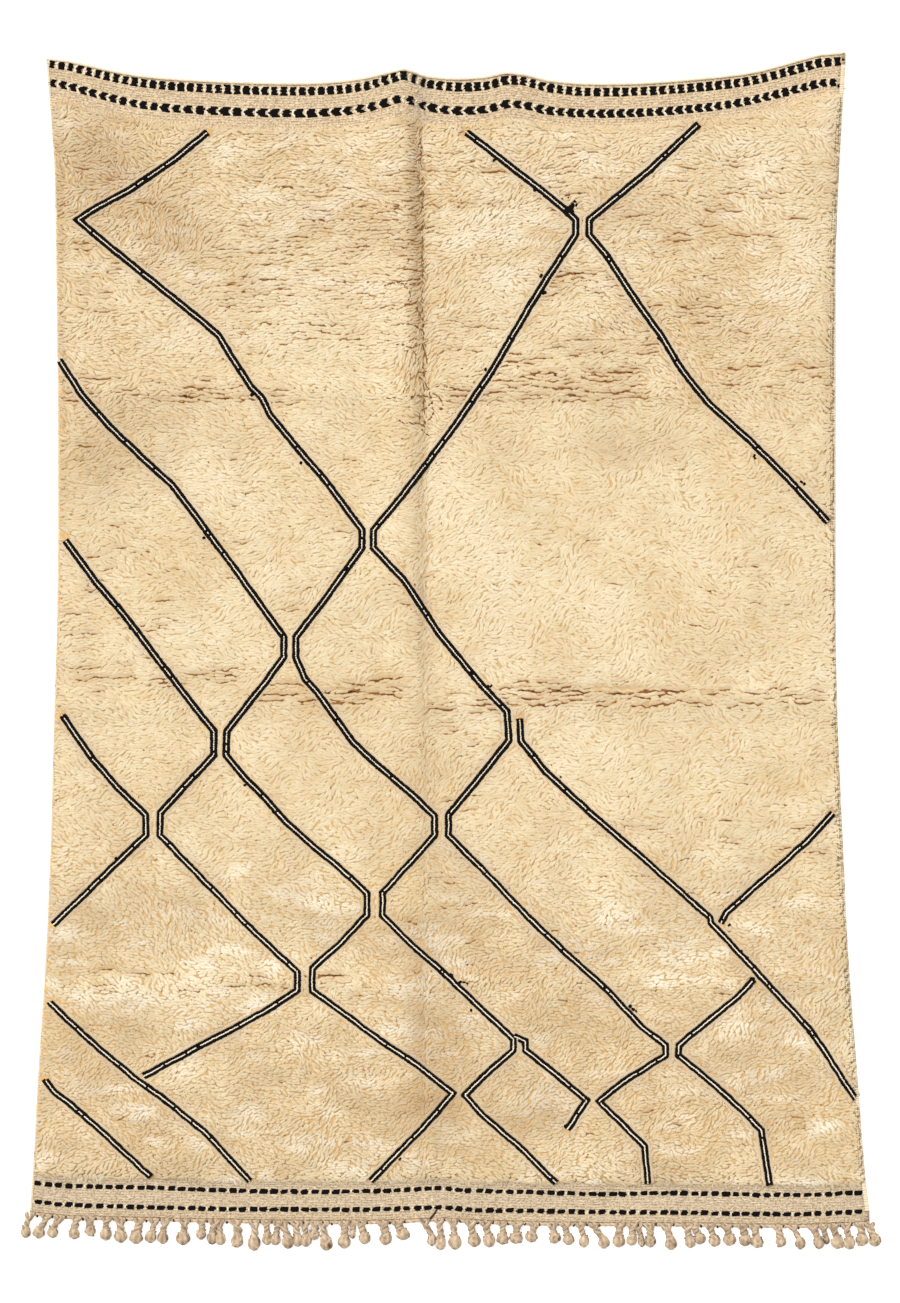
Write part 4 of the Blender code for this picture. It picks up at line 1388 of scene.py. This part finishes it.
def add_crack(parts, cloth, crack):
    """The dark floor of a crack, which the locks beside it leave open; its dark brown is painted shade."""
    x = even(crack.x - crack.half, crack.x + crack.half, CRACK_STEP)
    x = x[cloth.inside_foot(x, crack.route(x)) > CRACK_INSET]
    if len(x) < 2:
        return
    y, half = crack.route(x), crack.opening(x) + CRACK_FLOOR
    sides = [np.column_stack((x, at, cloth.face(x, at) + CRACK_LIFT)) for at in (y - half, y + half)]
    parts.add(np.vstack(sides), grid_faces(2, len(x)))


def add_crease(parts, cloth, route, directions, keep, chance):
    """A thin dark broken line between the locks: painted shade of a crease."""
    kept = chance.random(len(route)) < keep
    route, directions = route[kept], directions[kept]
    x, y = (route + chance.uniform(-1.2, 1.2, route.shape)).T
    turn = turn_of(directions) + chance.normal(0, 0.38, len(x))
    wide = chance.uniform(1.2, 4.0, len(x))
    points, faces, _ = stitches(x, y, cloth.top(x, y) + 2.0, turn, WEB_PITCH * 1.5, wide, 0.8)
    parts.add(points, faces)


def make_cracks(cloth, cracks, material):
    """The cracks' floors, the web where the fold pinches the pile, and the fold's dark valley: all painted
    shade.
    """
    chance = np.random.default_rng(19)
    parts = Parts()
    for crack in cracks:
        add_crack(parts, cloth, crack)
    for places in WEB:
        route, directions = resampled([on_rug(place) for place in places], WEB_PITCH)
        add_crease(parts, cloth, route, directions, chance.uniform(0.66, 0.86), chance)
    y = np.arange(*SEAM, -WEB_PITCH)
    seam = np.stack((y * 0 - valley_gap(y * 0, y)[0] - 1.0 + 2.2 * waves(y * 0, y, 22, 58), y), 1)
    add_crease(parts, cloth, seam, np.tile((0.0, 1.0), (len(y), 1)), SEAM_SHARE, chance)
    return parts.piece("pile_cracks", cloth, material)


def make_specks(cloth, lines, material):
    """Small dark marks between the locks, painted shade that stands for small gaps there."""
    chance = np.random.default_rng(37)
    x, y = chance.uniform(-1050, 1050, SPECK_TRIES), chance.uniform(-1300, 1400, SPECK_TRIES)
    keep = (cloth.inside_foot(x, y) > 12) & (lines.nearest(x, y)[0] > 16)
    share = pile_relief(x, y) - 0.1 + 0.25 * ease(-y, *LOWER_PART) + 0.3 * waves(x, y, 160, 78)
    keep &= chance.random(len(x)) < share
    x, y = x[keep], y[keep]
    count = len(x)
    turn = lie_turn(x, y) + chance.normal(0, 0.5, count)
    size = chance.uniform(0.6, 1.25, count)
    length = size * (5.6 - 1.8 * ease(-y, *LOWER_PART))
    points, faces, _ = stitches(x, y, cloth.top(x, y) + 1.2, turn, length, 2.8 * size, 0.8)
    parts = Parts()
    parts.add(points, faces)
    return parts.piece("pile_specks", cloth, material)


# ---------------------------------------------------------------- the woven rows


def add_stitch(parts, cloth, x, y, turn, length, width, lift, shape=STITCH):
    """One stitch on the flat weave, which it follows."""
    x, y = np.array([x]), np.array([y])
    parts.stitch(x, y, cloth.face(x, y) + lift, turn, length, width, shape=shape)


def add_block(parts, cloth, x, y, turn, shape, bar_height, chance, scale=1.0):
    """One woven block: short bars of weft, one over the other."""
    bars = BLOCK_SHAPES[shape]
    for k, bar in enumerate(bars):
        out = ((len(bars) - 1) / 2 - k) * bar_height
        start = bar.start * scale + chance.uniform(-1.4, 1.4)
        end = bar.end * scale + chance.uniform(-1.4, 1.4)
        place = beside_place(x, y, turn, (start + end) / 2, out)
        tilt = turn + chance.uniform(-0.08, 0.08)
        add_stitch(parts, cloth, *place, tilt, (end - start) * 1.06, bar_height * 1.5, 2.0, BAR_STITCH)


def add_chevron(parts, cloth, x, y, turn, size, chance):
    """Two pale stitches that meet in a point, between two blocks."""
    for way in (-1, 1):
        place = beside_place(x, y, turn, size * 0.06, way * size * 0.25)
        tilt = turn + way * (0.95 + chance.uniform(-0.2, 0.2))
        add_stitch(parts, cloth, *place, tilt, size * chance.uniform(0.46, 0.64), 4.2, 1.7)


def spaced(x, y, pitch_of):
    """Places along a row whose pitch changes with x, with the row's slope at each."""
    run = np.concatenate(([0], np.cumsum(np.hypot(np.diff(x), np.diff(y)) / pitch_of(x[:-1]))))
    stops = np.arange(0.5, run[-1])
    at_x, at_y = np.interp(stops, run, x), np.interp(stops, run, y)
    return at_x, at_y, np.arctan2(np.gradient(at_y), np.gradient(at_x))


def edge_pitch(x):
    """How far apart the upright blocks by the plain end's edge are."""
    return np.full(np.shape(x), 23.4)


def arrow_pitch(x):
    """How far apart the arrowheads by the pile are: most in the middle."""
    return 31 - 6.5 * ease(x, 0, 420) - 5 * ease(-x, 600, 800)


def dash_pitch(x):
    """How far apart the fringed end's dashes are."""
    return np.full(np.shape(x), 25.7)


# The plain end's rows: where, of what blocks, how high a bar is, and the pitch of a full-size block.
BlockRow = namedtuple("BlockRow", "depths kinds bar_height pitch_of full_pitch")
BLOCK_ROWS = (
    BlockRow("near_edge", UPPER_KINDS, 3.9, edge_pitch, 25.2),
    BlockRow("near_pile", LOWER_KINDS, 3.7, arrow_pitch, 29),
)


def add_upper_rows(dark, pale, cloth, chance):
    """The plain end's two rows: upright blocks by the edge, arrowheads by the pile."""
    x = np.arange(-1007, 990, ROW_STEP)
    for row in BLOCK_ROWS:
        depths = np.interp(x, column(UPPER_ROWS, "x"), column(UPPER_ROWS, row.depths))
        for bx, by, turn in zip(*spaced(x, cloth.line("edge", "up", x) - depths, row.pitch_of)):
            left, right = cloth.line("edge", "left", by), cloth.line("edge", "right", by)
            if not left + BLOCK_INSET < bx < right - BLOCK_INSET:
                continue
            pitch = float(row.pitch_of(bx))
            kind = row.kinds[int(chance.integers(len(row.kinds)))]
            size = (1 - 0.08 * float(ease(-bx, 620, 860))) * chance.uniform(0.98, 1.12)
            scale = pitch / row.full_pitch * size
            add_block(dark, cloth, bx, by, turn, kind, row.bar_height * size, chance, scale)
            gap = beside_place(bx, by, turn, -pitch / 2, 0)
            add_chevron(pale, cloth, *gap, turn, 20, chance)


def add_lower_rows(dark, pale, cloth, chance):
    """The fringed end's two rows of dashes, some with a pale stitch beside them."""
    x = np.arange(-1044, 1046, ROW_STEP)
    for height in LOWER_ROWS:
        rise = 1.5 * np.exp(-(((x + 50) / 60) ** 2)) + 2.2 * waves(x, x * 0 + height * 9, 190, 81)
        y = cloth.line("edge", "down", x) + height + rise
        for bx, by, turn in zip(*spaced(x, y, dash_pitch)):
            bx, by = bx + chance.uniform(-1.6, 1.6), by + chance.uniform(-0.8, 0.8)
            bar_height, scale = 3.4 * chance.uniform(0.85, 1.15), chance.uniform(0.96, 1.22)
            tilt = turn + chance.uniform(-0.08, 0.08)
            add_block(dark, cloth, bx, by, tilt, "dash", bar_height, chance, scale)
            if chance.random() < 0.5:
                add_chevron(pale, cloth, bx - 12.8, by, turn, 6, chance)


def add_floats(pale, cloth, chance):
    """Pale weft floats that stand out of the flat weave."""
    x = chance.uniform(-1040, 1040, FLOAT_COUNT)
    upper = chance.random(FLOAT_COUNT) < 0.5
    x = np.where(upper, x * 0.95, x)
    in_upper = cloth.line("edge", "up", x) - chance.uniform(10, 105, FLOAT_COUNT)
    in_lower = cloth.line("edge", "down", x) + chance.uniform(6, 92, FLOAT_COUNT)
    y = np.where(upper, in_upper, in_lower)
    keep = cloth.inside_foot(x, y) < -8
    x, y = x[keep], y[keep]
    turn = chance.normal(0, 0.22, len(x))
    length = chance.uniform(7, 17, len(x))
    pale.stitch(x, y, cloth.face(x, y) + 0.55, turn, length, 3.2, 0.7)


def make_rows(cloth, black, cream, weave_yarn):
    chance = np.random.default_rng(17)
    dark, pale, floats = Parts(), Parts(), Parts()
    add_upper_rows(dark, pale, cloth, chance)
    add_lower_rows(dark, pale, cloth, chance)
    add_floats(floats, cloth, chance)
    return (
        dark.piece("rows_black", cloth, black), pale.piece("rows_cream", cloth, cream),
        floats.piece("weft_floats", cloth, weave_yarn),
    )


# ---------------------------------------------------------------- edges


def add_end_cord(pale, dark, cloth, chance):
    """The cord along the plain end, and the broken dark groove beside it, whose dark stitches are painted
    shade.
    """
    x = np.arange(-1003, 988, ROW_STEP)
    edge = cloth.line("edge", "up", x)
    route, _ = resampled(np.stack((x, edge - END_CORD_INSET), 1), END_CORD_PITCH)
    path = np.column_stack((route, cloth.top(*route.T) + 0.4))
    turns = len(route) * END_CORD_PITCH / END_CORD_TWIST
    points, faces, depth = loft(path, 3.4, 2.2, CORD_SIDES, ridges=2, ridge=0.2, turns=turns)
    pale.add(points, faces, depth=depth * 0.5)
    groove, directions = resampled(np.stack((x, edge - GROOVE_INSET), 1), GROOVE_PITCH)
    groove = groove + chance.uniform(-0.5, 0.5, groove.shape)
    kept = chance.random(len(groove)) < GROOVE_SHARE
    x, y = groove[kept].T
    dark.stitch(x, y, cloth.face(x, y) + 0.4, turn_of(directions)[kept], 7.5, 1.7, 0.4)


def add_overcast(pale, cloth, chance):
    """The stitches over each selvedge."""
    for side, way, reach in (("left", 1, 3.0), ("right", -1, 5.5)):
        y = np.arange(-1395, 1470, OVERCAST_PITCH)
        y = y + chance.uniform(-0.8, 0.8, len(y))
        edge = cloth.line("edge", side, y)
        turn, z = chance.normal(0, 0.12, len(y)), cloth.face(edge + way * 3, y) + reach * 0.8
        pale.stitch(edge + way * reach, y, z, turn, reach * 2.3, 6.4)


def add_selvedge_dots(dark, cloth, chance):
    """The columns of dark stitches in the right selvedge."""
    for dots in SELVEDGE_DOTS:
        y = np.arange(-1300, 1380, DOT_PITCH)
        y = y + chance.uniform(-0.7, 0.7, len(y))
        y = y[chance.random(len(y)) < dots.share + 0.25 * waves(y, y * 0, 120, 57)]
        x = cloth.line("edge", "right", y) - dots.inset + chance.uniform(-0.5, 0.5, len(y))
        turn = math.pi / 2 + chance.normal(0, 0.3, len(y))
        z = cloth.top(x - CROWN_INSET, y) + 2.4
        dark.stitch(x, y, z, turn, chance.uniform(1.8, 3.4, len(y)), 1.9, 0.6)


def add_loose_yarn(dark, cloth, chance):
    route, directions = resampled([on_rug(place) for place in LOOSE_YARN], 4.0)
    turn = turn_of(directions) + chance.normal(0, 0.2, len(route))
    z = cloth.face(*route.T) + 2.4
    dark.stitch(*route.T, z, turn, 7.0, chance.uniform(3.4, 5.2, len(route)))


def make_edging(cloth, weave_yarn, dark_yarn):
    """The plain end's cord, the selvedges' stitches, and the loose yarn on the other end's band."""
    chance = np.random.default_rng(23)
    pale, dark = Parts(), Parts()
    add_end_cord(pale, dark, cloth, chance)
    add_overcast(pale, cloth, chance)
    add_selvedge_dots(dark, cloth, chance)
    add_loose_yarn(dark, cloth, chance)
    return pale.piece("edging", cloth, weave_yarn), dark.piece("edging_dark", cloth, dark_yarn)


# ---------------------------------------------------------------- the fringe


class Tassel:
    """Two warp cords that part at the cloth, twist together and end in a round knot."""

    def __init__(self, cloth, knot, chance):
        self.chance = chance
        self.knot_x, self.knot_y = on_rug((knot.x, knot.y))
        self.root_x = on_rug((knot.root, 0))[0]
        self.root_y = float(cloth.line("edge", "down", self.root_x)) - 1.0
        self.length = (self.root_y - self.knot_y) / KNOT_MIDDLE
        self.sway = chance.uniform(-2.5, 2.5)
        self.lean = chance.uniform(-2.5, 2.5)
        self.way = float(chance.choice((-1, 1)))
        self.fit = knot.width * PIXEL / KNOT_WIDTH
        self.low_fit = 0.4 + 0.6 * self.fit  # a small knot is flattened less
        self.sections = PEAR if chance.random() < PEAR_SHARE else BALL

    def middle(self, along):
        """X and Y of the tassel's middle at this share of its length."""
        swing = self.sway * np.sin(np.clip(along, 0, 0.7) / 0.7 * math.pi)
        x = self.root_x + (self.knot_x - self.root_x) * ease(along, 0.0, 0.75) + swing
        return x + self.lean * (ease(along, 0.45, 1.0) - 0.5), self.root_y - self.length * along

    def add_tube(self, parts, tube, hollow, foot, foot_rise, extra=0.0):
        """Adds a tube with painted shade: darker in its hollows and near the floor."""
        points, faces, depth = tube
        low = 1 - ease(points[:, 2], *foot_rise)
        depth = np.clip(hollow * depth + foot * low + extra, 0, 1)
        parts.add(points, faces, depth=depth, tone=self.chance.uniform(0, 1))

    def add_neck(self, parts):
        chance, along = self.chance, np.linspace(-0.06, 0.64, NECK_RINGS)
        x, y = self.middle(along)
        spread = NECK_SPREAD * (1 - ease(along, -0.04, 0.26))
        start = chance.uniform(0, math.pi)
        twist = start * ease(along, 0.02, 0.2) + self.way * math.tau * 1.5 * ease(along, 0.08, 0.85)
        bulge = 1 + chance.uniform(-0.1, 0.3) * np.exp(-(((along - 0.36) / 0.10) ** 2))
        radius = NECK_RADIUS * (0.55 + 0.45 * self.fit) * chance.uniform(0.9, 1.12)
        level = radius * 1.4 + 2.6 * (1 - ease(along, 0.0, 0.4))
        for side in (-1, 1):
            path_x = x + side * (spread + 0.72 * radius * bulge * np.cos(twist))
            z = level + side * 0.45 * radius * np.sin(twist) * ease(along, 0.0, 0.2)
            tube = loft(
                np.column_stack((path_x, y, z)), radius * bulge * 1.04, radius * 0.94, NECK_SIDES,
                ridges=3, ridge=0.11, turns=self.way * 2.2, phase=chance.uniform(0, math.tau),
            )
            self.add_tube(parts, tube, 0.55, 0.85, (2.5, 11.5))

    def add_head(self, parts):
        along = column(self.sections, "along")
        half_width = column(self.sections, "half_width") * self.fit
        half_height = column(self.sections, "half_height") * self.low_fit
        path = np.column_stack((*self.middle(along), half_height * 1.02))
        points, faces, depth = loft(
            path, half_width, half_height, TASSEL_SIDES, ridges=GATHERS, turns=self.way * 0.5,
            ridge=np.linspace(0.18, 0.06, len(along)), phase=self.chance.uniform(0, math.tau),
        )
        x, y, z = points.T
        lump = wavy(x, y, KNOT_LUMPS)
        points[:, 2] = np.maximum(z + lump * (z > 4), FLOOR_GAP)
        away = x - y - (self.knot_x - self.knot_y)
        below = ease(away, -6, 22)  # painted shade on the side away from the light
        # Painted shade near the floor and on the side away from the light, darker in the lumps' dips and
        # lighter on their tops.
        self.add_tube(parts, (points, faces, depth), 0.45, 0.6 + 0.5 * below, (2.0, 15.0), -0.17 * lump)

    def add_wrap(self, parts, along, tilt, bow):
        """A strand of the knot that crosses over it."""
        at = column(self.sections, "along")
        wide = float(np.interp(along, at, column(self.sections, "half_width"))) * self.fit - 0.4
        tall = float(np.interp(along, at, column(self.sections, "half_height"))) * self.low_fit - 0.6
        radius = WRAP_RADIUS * self.low_fit
        x, y = self.middle(along)
        sweep = np.linspace(-0.10, math.pi + 0.10, WRAP_RINGS)
        across, out = wide * np.cos(sweep), bow * np.sin(sweep)
        z = np.maximum(tall * 0.98 + tall * 0.86 * np.sin(sweep), radius)
        path = np.column_stack((*beside_place(x, y, tilt, across, out), z))
        tube = loft(path, radius, radius * 0.66, CORD_SIDES, ridges=3, ridge=0.09, turns=1.0)
        self.add_tube(parts, tube, 0.4, 0.7, (4.0, 17.0))


def add_edge_cord(parts, cloth, roots):
    """The cord along the cloth's edge, which sags a little between the tassels."""
    x = np.arange(-1050, 1051, EDGE_CORD_STEP)
    gap = np.min(np.abs(x[:, None] - roots[None]), axis=1)
    sag = 0.9 * ease(gap, 4, 22) + 0.4 * waves(x, x * 0, 16, 93)
    y = cloth.line("edge", "down", x) - 1.2 - sag
    path = np.column_stack((x, y, np.full(len(x), EDGE_CORD_LEVEL)))
    turns = len(x) * EDGE_CORD_STEP / EDGE_CORD_TWIST
    cord = loft(path, EDGE_CORD_RADIUS, EDGE_CORD_RADIUS, CORD_SIDES, ridges=2, ridge=0.15, turns=turns)
    points, faces, depth = cord
    parts.add(points, faces, depth=depth * 0.4, tone=0.0)


def add_root_marks(dots, cloth, roots, chance):
    """Small dark marks beside the tassels' roots."""
    x = roots + chance.uniform(*ROOT_MARK_OFFSET, len(roots))
    x = x[np.abs(x) < ROOT_MARK_REACH]
    y = cloth.line("edge", "down", x) + chance.uniform(-5.0, -1.0, len(x))
    dots.stitch(x, y, ROOT_MARK_LEVEL, chance.uniform(0.8, 2.2, len(x)), 8.4, 5.4, 1.8)


def make_fringe(cloth, cotton, dark_yarn):
    """Every tassel, the cord along the cloth's edge, and the dark marks between them."""
    chance = np.random.default_rng(29)
    parts, dots = Parts(), Parts()
    for knot in KNOTS:
        tassel = Tassel(cloth, knot, chance)
        tassel.add_neck(parts)
        tassel.add_head(parts)
        along, tilt = chance.uniform(0.56, 0.62), tassel.way * chance.uniform(0.1, 0.6)
        tassel.add_wrap(parts, along, tilt, 2.0)
        if chance.random() < 0.5:
            along, tilt = chance.uniform(0.68, 0.8), -tassel.way * chance.uniform(0.4, 1.2)
            tassel.add_wrap(parts, along, tilt, -3.0)
    roots = np.array([on_rug((knot.root, 0))[0] for knot in KNOTS])
    add_edge_cord(parts, cloth, roots)
    add_root_marks(dots, cloth, roots, chance)
    return parts.piece("fringe_knots", cloth, cotton), dots.piece("fringe_root_marks", cloth, dark_yarn)


# ---------------------------------------------------------------- light, floor and camera


def make_stage():
    size = FLOOR_REACH
    mesh = bpy.data.meshes.new("floor")
    corners = [(-size, -size, 0), (size, -size, 0), (size, size, 0), (-size, size, 0)]
    mesh.from_pydata(corners, [], [(0, 1, 2, 3)])
    mesh.materials.append(floor_finish())
    floor = new_object("floor", mesh)
    floor.location.z = FLOOR_LEVEL


def make_lights():
    sun = bpy.data.lights.new("sun", "SUN")
    sun.energy = SUN_STRENGTH
    sun.angle = math.radians(SUN_SPREAD)
    sun.color = SUN_COLOUR
    new_object("sun", sun).rotation_euler = Vector(SUN_FROM).to_track_quat("Z", "Y").to_euler()
    world = bpy.data.worlds.new("studio")
    world.use_nodes = True
    background = world.node_tree.nodes["Background"]
    background.inputs["Color"].default_value = SKY_COLOUR
    background.inputs["Strength"].default_value = SKY_STRENGTH
    bpy.context.scene.world = world
    bpy.context.scene.view_settings.view_transform = "Standard"


def make_camera(cloth):
    camera = bpy.data.cameras.new("camera")
    camera.lens = LENS
    camera.sensor_width = SENSOR
    camera.sensor_fit = "AUTO"
    camera.clip_end = 100
    holder = new_object("camera", camera)
    x, y = on_rug((PHOTO_SIZE[0] / 2, PHOTO_SIZE[1] / 2))
    holder.location = ((x + cloth.shift[0]) * MM, (y + cloth.shift[1]) * MM, CAMERA_HEIGHT + PILE_LEVEL)
    bpy.context.scene.camera = holder


Wools = namedtuple("Wools", "black cream edge dark cotton pile crack speck weave matted")


def make_wools():
    """All the rug's materials."""
    return Wools(
        black=yarn("black_wool", BLACK_WOOL, BLACK_HOLLOW, sheen=0.0, roughness=0.95),
        cream=yarn("cream_wool", BEAD_CREAM, TAN, hollows=0.35),
        edge=yarn("edge_yarn", EDGE_CREAM, EDGE_TAN),
        dark=yarn("dark_yarn", DARK_THREAD, DARK_HOLLOW),
        cotton=yarn("fringe_cotton", COTTON, COTTON_DARK, grain=2.4, hollows=0.75),
        pile=pile_wool(),
        crack=ground_wool("crack_wool", CRACK_TAN, CRACK_BROWN),
        speck=ground_wool("speck_wool", SPECK_TAN, SPECK_BROWN),
        weave=woven_band(),
        matted=ground_wool("matted_wool", MATTED_TAN, MATTED_BROWN),
    )


def main():
    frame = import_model()
    cloth = Cloth(frame["nodes"]["rug"])
    lines, cracks, wools = Lines(), all_cracks(), make_wools()
    sheet = make_cloth(cloth, wools.weave, wools.matted)
    pieces = [
        *make_pile(cloth, lines, cracks, wools.pile),
        make_cracks(cloth, cracks, wools.crack),
        make_specks(cloth, lines, wools.speck),
        *make_lines(cloth, lines, wools.black, wools.cream, wools.pile),
        *make_rows(cloth, wools.black, wools.cream, wools.edge),
        *make_edging(cloth, wools.edge, wools.dark),
    ]
    knots, root_marks = make_fringe(cloth, wools.cotton, wools.dark)
    for piece in (sheet, *pieces):
        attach(piece, BODY)
    for piece in (knots, root_marks):
        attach(piece, BODY)
    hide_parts("rug")
    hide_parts("fringe")
    make_stage()
    make_lights()
    make_camera(cloth)


main()
